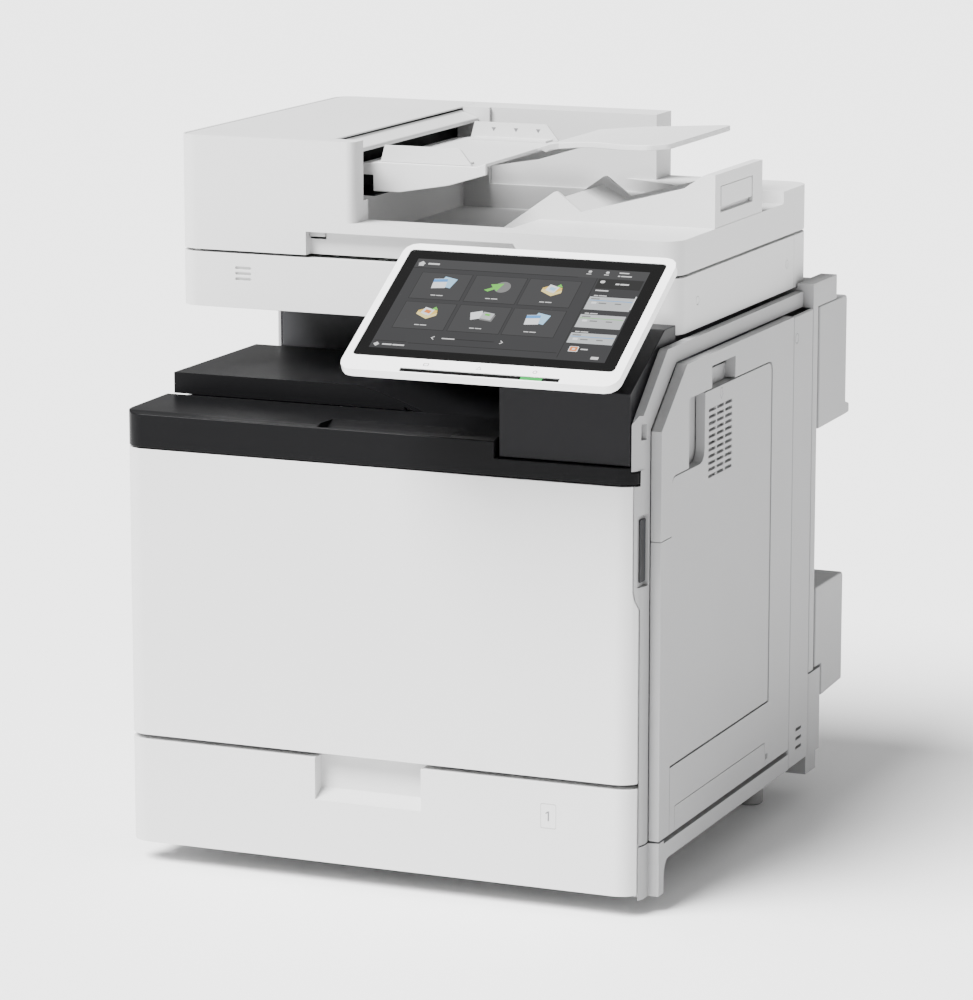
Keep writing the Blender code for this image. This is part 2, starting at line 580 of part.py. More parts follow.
def build_scanner(paint):
    """The flatbed housing, its glass, and the carriage under the glass."""
    (x0, x1), (y0, y1), (z0, z1) = SCAN_X, SCAN_Y, SCAN_Z
    body = box("scanner_housing", SCAN_X, SCAN_Y, SCAN_Z, paint["white"], round_z=CORNER, steps=5)
    wall, ledge = 0.008, 0.018
    seat = box("glass_seat", (x0 + wall, x1 - wall), (y0 + wall, y1 - wall), (z1 - 0.0035, z1 + 0.02),
               round_z=0.012)
    bay = box("scan_bay", (x0 + ledge, x1 - ledge), (y0 + ledge, y1 - ledge), (z0 + 0.006, z1 + 0.02))
    cut(body, seat, bay)
    box("platen_glass", (x0 + wall + GAP, x1 - wall - GAP), (y0 + wall + GAP, y1 - wall - GAP),
        (z1 - 0.0032, z1 - 0.0004), paint["glass"], round_z=0.012)
    join(body, rod("carriage_rail", "X", (0.0700, 0.5160), 0.0035, (x0 + 0.01, x1 - 0.01), None, 12))
    slide = pivot("carriage_slide", (x0 + 0.04, 0.0700, 0.5250))
    profile = [(y0 + 0.022, 0.5120), (0.0600, 0.5120), (0.0600, 0.5205), (0.0800, 0.5205), (0.0800, 0.5120),
               (y1 - 0.022, 0.5120), (y1 - 0.022, 0.5380), (y0 + 0.022, 0.5380)]
    prism("scan_carriage", profile, "X", (x0 + 0.024, x0 + 0.060), paint["charcoal"], parent=slide)
    for name, x in (("lid_hinge_left", (-0.1900, -0.1500)), ("lid_hinge_right", (0.1300, 0.1700))):
        block = [(SCAN_Y[1] + GAP, 0.5075), (0.2690, 0.5075), (0.2690, 0.5490, 0.006), (SCAN_Y[1] + GAP, 0.5490)]
        prism(name, block, "X", x, paint["grey"], 3)


def build_lid(paint):
    """The document feeder that is also the platen lid."""
    hinge = pivot("lid_hinge", LID_AXIS)
    (x0, x1), (y0, y1) = SCAN_X, SCAN_Y
    lid = box("feeder_base", SCAN_X, SCAN_Y, (LID_Z, EXIT_Z), paint["white"], origin=LID_AXIS, parent=hinge,
              round_z=CORNER, steps=5)
    split = -0.0765
    block = [(x0, y0, CORNER), (split, y0, 0.008), (split, y1), (x0, y1, CORNER)]
    join(lid, prism("feeder_block", block, "Z", (LID_Z + 0.005, HEIGHT), None, 5))
    join(lid, box("rear_hump", (split - 0.01, 0.0950), (0.2123, y1), (LID_Z + 0.005, HEIGHT)))
    hump_low = [
        (0.0634, 0.2123), (0.1200, 0.1860), (0.1320, 0.1745), (x1, 0.1745), (x1, y1, CORNER), (0.0634, y1),
    ]
    join(lid, prism("rear_step", hump_low, "Z", (LID_Z + 0.005, 0.5985), None, 5))
    cover_seat = box("cover_seat", (x0 + 0.003, -0.1045), (y0 + 0.0035, y1 - 0.0035), (BLOCK_Z + 0.001, 0.7),
                     round_z=0.012)
    bay = box("feeder_bay", (x0 + 0.008, -0.1100), (y0 + 0.008, y1 - 0.008), (0.5720, 0.7))
    mouth = box("feeder_mouth", (-0.1200, -0.0600), (-0.0880, 0.2080), (0.6060, 0.7))
    hollow = [(-0.1040, 0.5640), (0.0000, 0.5640), (0.0700, 0.5880), (0.0700, 0.6100), (-0.1040, 0.6100)]
    pocket = prism("exit_pocket", hollow, "Y", (-0.0780, 0.2080))
    grip = prism("lid_grip", [(-0.1245, 0.5400), (0.0900, 0.5400), (0.0900, 0.5600), (0.0800, 0.5775),
                              (-0.1245, 0.5775)], "Y", (-0.1300, -0.0990))
    cut(lid, cover_seat, bay, mouth, pocket, grip)
    pad = box("platen_pad", (x0 + 0.020, x1 - 0.020), (y0 + 0.030, y1 - 0.020), (SCAN_Z[1] + GAP, LID_Z - GAP),
              paint["white"], parent=hinge)
    edge_round(pad, 0.0003, 1, 60)
    build_feeder_cover(paint, hinge)
    build_ramp(paint, hinge, lid)
    build_input(paint, hinge)


def build_feeder_cover(paint, lid):
    """The lid over the feeding rollers, hinged at the left, and the feed roller under it."""
    hinge = pivot("feeder_cover_hinge", FEEDER_AXIS, lid)
    x, y = (SCAN_X[0] + 0.0035, -0.1050), (SCAN_Y[0] + 0.0040, SCAN_Y[1] - 0.0040)
    cover = box("feeder_cover", x, y, (0.6495, HEIGHT), paint["white"], origin=FEEDER_AXIS, parent=hinge,
                round_z=0.012)
    lip = [(-0.1300, HEIGHT), (-0.1180, HEIGHT), (-0.0870, 0.6510), (-0.0870, 0.6470), (-0.1080, 0.6500),
           (-0.1300, 0.6500)]
    join(cover, prism("feeder_lip", lip, "Y", (-0.0870, 0.2070)))
    place = (-0.1350, 0.6320)
    turn = pivot("feed_roller_axis", (place[0], 0.0350, place[1]), lid)
    roller = rod("feed_roller", "Y", place, 0.0120, (0.0050, 0.0650), paint["rubber"], 24, parent=turn)
    join(roller, rod("feed_shaft", "Y", place, 0.0030, (SCAN_Y[0] + 0.0090, SCAN_Y[1] - 0.0090), None, 12))


def build_ramp(paint, hinge, lid):
    """The ribbed ramp that scanned sheets land on, and the flap that stops them."""
    top = [
        (0.0300, 0.5700), (0.0300, 0.5770), (0.0825, 0.6140, 0.004), (0.1075, 0.5955), (0.2065, 0.6220),
        (0.2265, 0.6355, 0.006), (0.2366, 0.6355), (0.2366, 0.5700),
    ]
    join(lid, prism("exit_ramp", top, "Y", (-0.0140, 0.1140), None, 3))
    between = [
        (0.0250, 0.5740), (0.0800, 0.6050), (0.1060, 0.5920), (0.2050, 0.6185), (0.2150, 0.6300),
        (0.1400, 0.6300), (0.0250, 0.6300),
    ]
    cut(lid, prism("ramp_between", between, "Y", (-0.0100, 0.1100)))
    cut(lid, box("flap_seat", (0.2322, 0.2500), (0.0005, 0.0875), (0.6000, 0.6240)))
    flap = [(0.0030, 0.6050), (0.0850, 0.6050), (0.0850, 0.6235), (0.0030, 0.6235)]
    prism("stop_flap", flap, "X", (0.2336, 0.2366), paint["white"], origin=STOP_AXIS,
          parent=pivot("stop_hinge", STOP_AXIS, hinge))


def build_input(paint, lid):
    """The sheet tray on top of the feeder and its two sliding guides."""
    hinge = pivot("input_tray_hinge", INPUT_AXIS, lid)
    profile = [
        (-0.0975, 0.6250), (-0.0975, 0.6350), (-0.0780, 0.6370), (0.0200, 0.6370), (0.0550, 0.6500),
        (0.1000, 0.6545), (0.1880, 0.6600), (0.1880, 0.6550), (0.1000, 0.6490), (0.0550, 0.6440),
        (0.0330, 0.6310), (-0.0080, 0.6185), (-0.0570, 0.6100), (-0.0830, 0.6100), (-0.0830, 0.6250),
    ]
    tray = prism("input_tray", profile, "Y", (-0.0520, 0.1675), paint["white"], origin=INPUT_AXIS, parent=hinge)
    plan = [
        (-0.2000, -0.0520), (0.0290, -0.0520), (0.0330, 0.0000), (0.0450, 0.0330), (0.0620, 0.0440),
        (0.0800, 0.0430), (0.1100, 0.0250), (0.1400, 0.0020), (0.1680, -0.0100, 0.012), (0.1880, 0.0030, 0.010),
        (0.1880, 0.1675, 0.008), (-0.2000, 0.1675),
    ]
    boolean(tray, prism("tray_plan", plan, "Z", (0.5900, 0.6800), None, 3), "INTERSECT")
    under = [
        (-0.0770, 0.6000), (-0.0770, 0.6340), (0.0190, 0.6340), (0.0480, 0.6445), (0.0560, 0.6380),
        (0.0200, 0.6000),
    ]
    cut(tray, prism("tray_under", under, "Y", (-0.0480, 0.1660)))
    tall = 0.6525
    foot = 0.6373
    for name, y, side in (("guide_front", -0.0490, 1), ("guide_rear", 0.1645, -1)):
        wall = sorted((y, y + 0.0025 * side))
        outline = [(-0.0765, foot), (0.0140, foot), (0.0120, 0.6400), (0.0020, tall, 0.006), (-0.0725, tall)]
        guide = prism(name, outline, "Y", wall, paint["white"], 3, parent=hinge)
        base = sorted((y + 0.0012 * side, y + 0.020 * side))
        join(guide, box(f"{name}_base", (-0.0700, 0.0080), base, (foot - 0.0002, foot + 0.0015)))


def build_panel(paint):
    """The tilting control panel: white frame, touch glass, and the housing behind it."""
    hinge = pivot("panel_tilt", PANEL_AXIS)
    face = bpy.data.objects.new("panel_face", None)
    bpy.context.scene.collection.objects.link(face)
    face.parent = hinge
    face.location = Vector(PANEL_ORIGIN) - Vector(PANEL_AXIS)
    face.rotation_euler.x = PANEL_TILT
    frame = panel_box("panel_frame", (-0.0180, 0.2390), (-0.0310, 0.1455), (-0.0080, 0.0), paint["white"], face,
                      0.012)
    cut(frame, panel_box("glass_pocket", (-0.0110, 0.2308), (-0.0115, 0.1370), (-0.0030, 0.02), None, face,
                         0.004))
    cut(frame, panel_box("light_slot", (0.0400, 0.1870), (-0.0296, -0.0246), (-0.0025, 0.02), None, face, 0.0))
    panel_box("touch_glass", (-0.0107, 0.2305), (-0.0112, 0.1367), (-0.0027, -0.0004), paint["glass"], face,
              0.004)
    back = panel_box("panel_housing", (0.0050, 0.2200), (0.0100, 0.1300), (-0.0220, -0.0083), paint["charcoal"],
                     face, 0.010)
    for name, x in (("panel_lug_left", (0.1030, 0.1150)), ("panel_lug_right", (0.1790, 0.1910))):
        join(back, panel_box(name, x, (0.0960, 0.1220), (-0.0430, -0.0150), None, face, 0.0))


def panel_box(name, x, y, z, finish, face, corner):
    """A block in the panel's own tilted frame."""
    corners = [(x[0], y[0], corner), (x[1], y[0], corner), (x[1], y[1], corner), (x[0], y[1], corner)]
    obj = from_bmesh(name, prism_mesh(corners, "Z", z, 3), finish)
    obj.parent = face
    return obj


def centre_on_origin():
    """Moves everything so that the bounding box, panel included, stands centred over the origin."""
    for obj in bpy.context.scene.objects:
        if obj.parent is None:
            obj.location.x -= PANEL_OVERHANG / 2


def main():
    clear_scene()
    paint = finishes()
    build_base(paint)
    build_covers(paint)
    build_front(paint)
    build_cassette(paint)
    build_engine(paint)
    build_door(paint)
    build_scanner(paint)
    build_lid(paint)
    build_panel(paint)
    centre_on_origin()


main()
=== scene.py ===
"""Looks for a desktop colour photocopier: covers, screen, finishes, light and camera."""

from __future__ import annotations

import json
import logging
import math
from dataclasses import dataclass, field
from enum import Enum
from typing import Iterable, Sequence

import bpy
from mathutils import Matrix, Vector


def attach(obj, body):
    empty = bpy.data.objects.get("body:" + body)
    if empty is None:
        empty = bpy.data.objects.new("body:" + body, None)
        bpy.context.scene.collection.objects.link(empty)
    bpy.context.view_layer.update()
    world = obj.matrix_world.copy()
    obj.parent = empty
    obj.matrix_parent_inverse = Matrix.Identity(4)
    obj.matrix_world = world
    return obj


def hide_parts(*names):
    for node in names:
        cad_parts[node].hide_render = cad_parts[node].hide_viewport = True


Point = Sequence[float]
Piece = bpy.types.Object

LOG = logging.getLogger("photocopier")
MM = 0.001
SHARP = math.radians(35)
SAME_POINT = 0.00001
FLAT = math.radians(0.6)
FACE_WEIGHT = 80
LINE = 0.0007
SCANNER_HEIGHTS = (0.5000, 0.5560)


class Axis(Enum):
    """The direction that an outline is pushed along."""

    X = 0
    Y = 1
    Z = 2


# ---------------------------------------------------------------- shader graphs


class Socket:
    """An output socket whose arithmetic adds Math nodes."""

    def __init__(self, graph: "Graph", link: bpy.types.NodeSocket) -> None:
        """Wraps a socket.

        Args:
            graph: The graph that the socket is in.
            link: The output socket.
        """
        self.graph = graph
        self.link = link

    def _maths(self, operation: str, left: object, right: object) -> "Socket":
        """Adds one Math node.

        Args:
            operation: The Math node's operation.
            left: The first value or socket.
            right: The second value or socket.

        Returns:
            The node's result.
        """
        return self.graph.node("ShaderNodeMath", {"operation": operation}, {0: left, 1: right})

    def __add__(self, other: object) -> "Socket":
        """self + other"""
        return self._maths("ADD", self, other)

    def __radd__(self, other: object) -> "Socket":
        """other + self"""
        return self._maths("ADD", other, self)

    def __sub__(self, other: object) -> "Socket":
        """self - other"""
        return self._maths("SUBTRACT", self, other)

    def __rsub__(self, other: object) -> "Socket":
        """other - self"""
        return self._maths("SUBTRACT", other, self)

    def __mul__(self, other: object) -> "Socket":
        """self * other"""
        return self._maths("MULTIPLY", self, other)

    def __rmul__(self, other: object) -> "Socket":
        """other * self"""
        return self._maths("MULTIPLY", other, self)

    def __truediv__(self, other: object) -> "Socket":
        """self / other"""
        return self._maths("DIVIDE", self, other)


class Graph:
    """A material's node graph with a Principled shader at its end."""

    def __init__(self, name: str) -> None:
        """Makes an empty material.

        Args:
            name: The material's name.
        """
        self.material = bpy.data.materials.new(name)
        self.material.use_nodes = True
        self.tree = self.material.node_tree
        self.shader = self.tree.nodes["Principled BSDF"]
        self.place = self.node("ShaderNodeTexCoord", out="Object")

    def node(self, kind: str, settings: dict | None = None, inputs: dict | None = None,
             out: int | str = 0) -> Socket:
        """Adds any node.

        Args:
            kind: The node's type.
            settings: The node's properties; a list under "stops" fills a colour ramp.
            inputs: Values or sockets, by socket name or number.
            out: The name or number of the output to give back.

        Returns:
            The chosen output.
        """
        made = self.tree.nodes.new(kind)
        for name, value in (settings or {}).items():
            if name == "stops":
                self._fill_ramp(made.color_ramp, value)
            else:
                setattr(made, name, value)
        for name, value in (inputs or {}).items():
            self._feed(made.inputs[name], value)
        return Socket(self, made.outputs[out])

    def _fill_ramp(self, ramp: bpy.types.ColorRamp, stops: list) -> None:
        """Sets a ramp's stops.

        Args:
            ramp: The ramp.
            stops: Pairs of a position and a grey level.
        """
        while len(ramp.elements) < len(stops):
            ramp.elements.new(1.0)
        for element, (position, level) in zip(ramp.elements, stops):
            element.position = position
            element.color = (level, level, level, 1.0)

    def _feed(self, socket: bpy.types.NodeSocket, value: object) -> None:
        """Links a socket or sets its value.

        Args:
            socket: The input.
            value: A Socket, a number or a colour.
        """
        if isinstance(value, Socket):
            self.tree.links.new(value.link, socket)
        elif socket.type == "RGBA" and len(value) == 3:
            socket.default_value = (*value, 1.0)
        else:
            socket.default_value = value

    def set(self, **values: object) -> None:
        """Feeds the Principled shader, with underscores for the spaces in its socket names."""
        for name, value in values.items():
            self._feed(self.shader.inputs[name.replace("_", " ")], value)

    def noise(self, size: float, detail: float = 2.0, stretch: Point = (1, 1, 1)) -> Socket:
        """Noise in object space.

        Args:
            size: The width of a blotch in metres.
            detail: How many finer layers are added.
            stretch: How much longer the blotches are along X, Y and Z.

        Returns:
            The noise, about 0.5.
        """
        scale = tuple(1.0 / value for value in stretch)
        where = self.node("ShaderNodeMapping", inputs={"Vector": self.place, "Scale": scale})
        inputs = {"Vector": where, "Scale": 1.0 / size, "Detail": detail}
        return self.node("ShaderNodeTexNoise", inputs=inputs)

    def between(self, factor: Socket, first: Point, second: Point) -> Socket:
        """Mixes two colours by a factor socket."""
        return self.node("ShaderNodeMix", {"data_type": "RGBA"}, {0: factor, 6: first, 7: second}, out=2)

    def bump(self, height: Socket, depth: float, strength: float = 1.0) -> Socket:
        """A bumped normal, from a height socket, a depth in metres and a strength."""
        return self.node("ShaderNodeBump", inputs={"Strength": strength, "Distance": depth, "Height": height})


# ---------------------------------------------------------------- finishes


def tinted(colour: Point, amount: float) -> tuple:
    """A colour made lighter or darker by a share of itself."""
    return tuple(min(1.0, value * (1.0 + amount)) for value in colour)


@dataclass(frozen=True)
class Moulded:
    """Moulded plastic with a fine spark-eroded grain and a slight, broad change of gloss."""

    name: str
    colour: tuple
    roughness: float
    grain: float = 0.0007
    depth: float = 0.00003
    drift: float = 0.012
    coat: float = 0.0
    specular: float = 0.5

    def build(self) -> bpy.types.Material:
        """Makes the material.

        Returns:
            The finished material.
        """
        graph = Graph(self.name)
        fine = graph.noise(self.grain, 1.5)
        broad = graph.noise(0.09, 3.0)
        colour = graph.between(broad, tinted(self.colour, -self.drift), tinted(self.colour, self.drift))
        graph.set(
            Base_Color=colour,
            Roughness=self.roughness + (broad - 0.5) * 0.10 + (fine - 0.5) * 0.08,
            Normal=graph.bump(fine, self.depth, 0.6),
            Coat_Weight=self.coat,
            Coat_Roughness=0.08,
            Specular_IOR_Level=self.specular,
        )
        return graph.material


@dataclass(frozen=True)
class Sheet:
    """Zinc coated or drawn steel with fine lines along one axis."""

    name: str
    colour: tuple
    roughness: float
    along: tuple = (1, 40, 1)

    def build(self) -> bpy.types.Material:
        """Makes the material.

        Returns:
            The finished material.
        """
        graph = Graph(self.name)
        lines = graph.noise(0.0008, 2.0, self.along)
        bloom = graph.noise(0.03, 4.0)
        graph.set(
            Base_Color=graph.between(bloom, tinted(self.colour, -0.08), tinted(self.colour, 0.05)),
            Metallic=1.0,
            Roughness=self.roughness + (lines - 0.5) * 0.2 + (bloom - 0.5) * 0.1,
            Normal=graph.bump(lines, 0.00002, 0.4),
        )
        return graph.material


@dataclass(frozen=True)
class Pane:
    """Smooth glass over black, with a faint film of finger marks."""

    name: str
    colour: tuple
    roughness: float

    def build(self) -> bpy.types.Material:
        """Makes the material.

        Returns:
            The finished material.
        """
        graph = Graph(self.name)
        film = graph.node(
            "ShaderNodeValToRGB", {"stops": [(0.45, 0.0), (0.75, 1.0)]}, {0: graph.noise(0.03, 5.0)}
        )
        graph.set(
            Base_Color=graph.between(film, self.colour, tinted(self.colour, 0.15)),
            Roughness=self.roughness + film * 0.05,
            IOR=1.5,
            Specular_IOR_Level=0.12,
        )
        return graph.material


@dataclass(frozen=True)
class Clear:
    """Clear glass."""

    name: str
    roughness: float

    def build(self) -> bpy.types.Material:
        """Makes the material.

        Returns:
            The finished material.
        """
        graph = Graph(self.name)
        dust = graph.noise(0.02, 5.0)
        graph.set(Base_Color=(0.93, 0.97, 0.95), Transmission_Weight=1.0, IOR=1.5,
                  Roughness=self.roughness + dust * 0.03)
        return graph.material


@dataclass(frozen=True)
class Lit:
    """A colour shown by the screen or a lamp, a little uneven like a real backlight."""

    name: str
    colour: tuple
    strength: float = 1.5

    def build(self) -> bpy.types.Material:
        """Makes the material.

        Returns:
            The finished material.
        """
        graph = Graph(self.name)
        uneven = graph.noise(0.04, 1.0)
        colour = graph.between(uneven, tinted(self.colour, -0.06), tinted(self.colour, 0.06))
        graph.set(Base_Color=(0.0, 0.0, 0.0), Roughness=0.12, Emission_Color=colour,
                  Emission_Strength=self.strength)
        return graph.material


class Paint(Enum):
    """Every finish on the machine."""

    WHITE = Moulded("white_cover_plastic", (0.55, 0.55, 0.55), 0.50)
    GREY = Moulded("light_grey_cover_plastic", (0.285, 0.285, 0.288), 0.55)
    FOOT = Moulded("grey_foot_plastic", (0.27, 0.27, 0.27), 0.6)
    PANEL_WHITE = Moulded("white_panel_plastic", (0.87, 0.87, 0.87), 0.32, coat=0.25)
    BLACK = Moulded("black_trim_plastic", (0.0040, 0.0040, 0.0044), 0.36, drift=0.1, specular=0.07)
    CHARCOAL = Moulded("charcoal_inner_plastic", (0.026, 0.026, 0.028), 0.50, drift=0.1, specular=0.2)
    DARK_BOX = Moulded("black_panel_foot_plastic", (0.0085, 0.0085, 0.0095), 0.44, drift=0.1, specular=0.12)
    MARK = Moulded("printed_mark", (0.14, 0.14, 0.145), 0.5)
    LABEL = Moulded("label_outline", (0.34, 0.34, 0.34), 0.5)
    STEEL = Sheet("zinc_coated_sheet", (0.62, 0.63, 0.64), 0.38)
    TOUCH = Pane("touch_glass", (0.003, 0.003, 0.003), 0.10)
    PLATEN = Clear("platen_glass", 0.02)
    RUBBER = Moulded("black_rubber", (0.025, 0.025, 0.025), 0.78, grain=0.0004, drift=0.15)
    DRUM = Moulded("drum_coating", (0.02, 0.11, 0.17), 0.16, depth=0.000004, coat=0.6)
    SLEEVE = Moulded("fuser_sleeve", (0.22, 0.09, 0.03), 0.30, depth=0.000006)
    BELT = Moulded("transfer_belt_film", (0.015, 0.014, 0.014), 0.12, depth=0.000004)
    SCREEN = Lit("screen_background", (0.034, 0.034, 0.036))
    SCREEN_TILE = Lit("screen_tile", (0.046, 0.046, 0.048))
    SCREEN_LINE = Lit("screen_line", (0.015, 0.015, 0.015))
    SCREEN_TEXT = Lit("screen_text", (0.72, 0.72, 0.72))
    SCREEN_CARD = Lit("screen_card", (0.52, 0.54, 0.55))
    SCREEN_WHITE = Lit("screen_white", (0.88, 0.90, 0.92))
    SCREEN_BLUE = Lit("screen_blue", (0.10, 0.36, 0.80))
    SCREEN_SKY = Lit("screen_sky", (0.40, 0.70, 0.95))
    SCREEN_GREEN = Lit("screen_green", (0.16, 0.62, 0.08))
    SCREEN_YELLOW = Lit("screen_yellow", (0.90, 0.62, 0.12))
    SCREEN_AMBER = Lit("screen_amber", (0.95, 0.78, 0.32))
    SCREEN_ORANGE = Lit("screen_orange", (0.85, 0.24, 0.05))
    SCREEN_GREY = Lit("screen_grey", (0.20, 0.20, 0.20))
    LAMP_GREEN = Lit("status_lamp_green", (0.02, 0.70, 0.12), 1.3)

    @property
    def material(self) -> bpy.types.Material:
        """The finish's material, made on first use."""
        return bpy.data.materials.get(self.value.name) or self.value.build()


# ---------------------------------------------------------------- mesh work


class Bench:
    """Modelling steps that every sub-assembly uses."""

    @staticmethod
    def choose(piece: Piece) -> None:
        """Makes one piece the only selected and the active one."""
        bpy.ops.object.select_all(action="DESELECT")
        piece.select_set(True)
        bpy.context.view_layer.objects.active = piece

    @staticmethod
    def settle(piece: Piece) -> None:
        """Moves a piece's place, turn and size into its mesh."""
        Bench.choose(piece)
        bpy.ops.object.transform_apply(location=True, rotation=True, scale=True)

    @staticmethod
    def prism(name: str, points: Sequence[Point], axis: Axis, span: Point) -> Piece:
        """A closed outline pushed along an axis.

        Args:
            name: The piece's name.
            points: The outline on the other two axes, in X, Y, Z order.
            axis: The direction of the push.
            span: Where it starts and ends.

        Returns:
            The closed piece.
        """
        bpy.ops.object.select_all(action="DESELECT")
        bpy.ops.mesh.primitive_circle_add(vertices=len(points), radius=1.0, fill_type="NGON")
        piece = bpy.context.object
        piece.name = name
        for vertex, (a, b) in zip(piece.data.vertices, points):
            place = [a, b]
            place.insert(axis.value, span[0])
            vertex.co = place
        push = [0.0, 0.0, 0.0]
        push[axis.value] = span[1] - span[0]
        bpy.ops.object.mode_set(mode="EDIT")
        bpy.ops.mesh.select_all(action="SELECT")
        bpy.ops.mesh.extrude_region_move(TRANSFORM_OT_translate={"value": push})
        bpy.ops.mesh.select_all(action="SELECT")
        bpy.ops.mesh.normals_make_consistent(inside=False)
        bpy.ops.object.mode_set(mode="OBJECT")
        return piece

    @staticmethod
    def block(name: str, low: Point, high: Point) -> Piece:
        """A block between two corners, as a start for shaping or a cutter."""
        bpy.ops.object.select_all(action="DESELECT")
        middle = [(a + b) / 2 for a, b in zip(low, high)]
        size = [b - a for a, b in zip(low, high)]
        bpy.ops.mesh.primitive_cube_add(size=1.0, location=middle, scale=size)
        piece = bpy.context.object
        piece.name = name
        Bench.settle(piece)
        return piece

    @staticmethod
    def rod(name: str, axis: Axis, centre: Point, radius: float, span: Point, sides: int = 48) -> Piece:
        """A round bar along an axis, centred on the other two axes."""
        ring = []
        for step in range(sides):
            angle = 2 * math.pi * step / sides
            ring.append((centre[0] + radius * math.cos(angle), centre[1] + radius * math.sin(angle)))
        return Bench.prism(name, ring, axis, span)

    @staticmethod
    def ring(name: str, axis: Axis, centre: Point, radius: float, width: float, span: Point) -> Piece:
        """A round groove's cutter, by its outer radius and its width."""
        outer = Bench.rod(name, axis, centre, radius, span)
        low, high = span
        Bench.cut(outer, Bench.rod("ring_inside", axis, centre, radius - width, (low - MM, high + MM)))
        return outer

    @staticmethod
    def hollow(name: str, points: Sequence[Point], axis: Axis, span: Point, share: float) -> Piece:
        """A thin outlined mark: a prism with the same shape, made smaller, taken out of it."""
        outer = Bench.prism(name, points, axis, span)
        middle = [sum(values) / len(points) for values in zip(*points)]
        inside = [
            tuple(centre + (value - centre) * share for value, centre in zip(point, middle))
            for point in points
        ]
        low, high = span
        Bench.cut(outer, Bench.prism("mark_inside", inside, axis, (low - MM, high + MM)))
        return outer

    @staticmethod
    def copy_node(node: str, name: str) -> Piece:
        """A merged copy of a CAD node's mesh, its flat faces made whole again.

        Args:
            node: The CAD node.
            name: The copy's name.

        Returns:
            The copy, at the origin.
        """
        source = FRAME["nodes"][node]
        piece = bpy.data.objects.new(name, source.data.copy())
        bpy.context.scene.collection.objects.link(piece)
        piece.data.materials.clear()
        Bench.choose(piece)
        if piece.data.has_custom_normals:
            bpy.ops.mesh.customdata_custom_splitnormals_clear()
        bpy.ops.object.mode_set(mode="EDIT")
        bpy.ops.mesh.select_all(action="SELECT")
        bpy.ops.mesh.remove_doubles(threshold=SAME_POINT)
        bpy.ops.mesh.dissolve_limited(angle_limit=FLAT)
        bpy.ops.object.mode_set(mode="OBJECT")
        return piece

    @staticmethod
    def apply(piece: Piece, kind: str, **settings: object) -> None:
        """Adds a modifier, sets it and applies it."""
        Bench.choose(piece)
        made = piece.modifiers.new(kind.title(), kind)
        for name, value in settings.items():
            setattr(made, name, value)
        bpy.ops.object.modifier_apply(modifier=made.name)

    @staticmethod
    def cut(piece: Piece, *cutters: Piece) -> None:
        """Takes the cutters out of a piece and deletes them."""
        for cutter in cutters:
            Bench.apply(piece, "BOOLEAN", object=cutter, operation="DIFFERENCE", solver="EXACT")
            bpy.data.objects.remove(cutter, do_unlink=True)

    @staticmethod
    def gather(pieces: Sequence[Piece], name: str) -> Piece:
        """Puts loose pieces into one object."""
        bpy.ops.object.select_all(action="DESELECT")
        for piece in pieces:
            piece.select_set(True)
        bpy.context.view_layer.objects.active = pieces[0]
        if len(pieces) > 1:
            bpy.ops.object.join()
        pieces[0].name = name
        return pieces[0]

    @staticmethod
    def soften(piece: Piece, width: float, segments: int = 2) -> None:
        """Rounds every sharp edge and shades the piece smooth."""
        if width > 0:
            Bench.apply(piece, "BEVEL", width=width, segments=segments, limit_method="ANGLE",
                        angle_limit=SHARP, use_clamp_overlap=True, miter_outer="MITER_ARC")
        Bench.choose(piece)
        bpy.ops.object.shade_smooth_by_angle(angle=SHARP)
        Bench.apply(piece, "WEIGHTED_NORMAL", keep_sharp=True, weight=FACE_WEIGHT)

    @staticmethod
    def dress(piece: Piece, paint: Paint, body: str, slot: str, nodes: Sequence[str] = ()) -> Piece:
        """Finishes a piece: its place in its mesh, its material, its body and what it stands for.

        Args:
            piece: The piece.
            paint: Its finish.
            body: The CAD body it moves with.
            slot: The record's material slot; not used.
            nodes: The CAD nodes that it replaces.

        Returns:
            The piece.
        """
        Bench.settle(piece)
        piece.data.materials.clear()
        piece.data.materials.append(paint.material)
        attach(piece, body)
        if nodes:
            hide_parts(*nodes)
        LOG.info("%s: %d faces on %s", piece.name, len(piece.data.polygons), body)
        return piece


@dataclass(frozen=True)
class Refit:
    """A CAD node whose shape is kept, with its edges rounded."""

    node: str
    paint: Paint
    edge: float = 0.0008
    segments: int = 2

    def build(self, *cutters: Piece) -> Piece:
        """Copies, cuts, rounds and dresses the node.

        Args:
            cutters: Solids to take out of it.

        Returns:
            The piece that stands for the node.
        """
        piece = Bench.copy_node(self.node, f"{self.node}_skin")
        Bench.cut(piece, *cutters)
        Bench.soften(piece, self.edge, self.segments)
        return Bench.dress(piece, self.paint, body_of(self.node), slot_of(self.node), [self.node])


def body_of(node: str) -> str:
    """The CAD body that a node belongs to."""
    for body, nodes in FRAME["record"]["behaviour"]["bodies"].items():
        if node in nodes:
            return body
    raise ValueError(node)


def slot_of(node: str) -> str:
    """The record's material slot of a node."""
    for part in FRAME["record"]["subparts"]:
        if part["node"] == node:
            return part["material_slot"]
    raise ValueError(node)


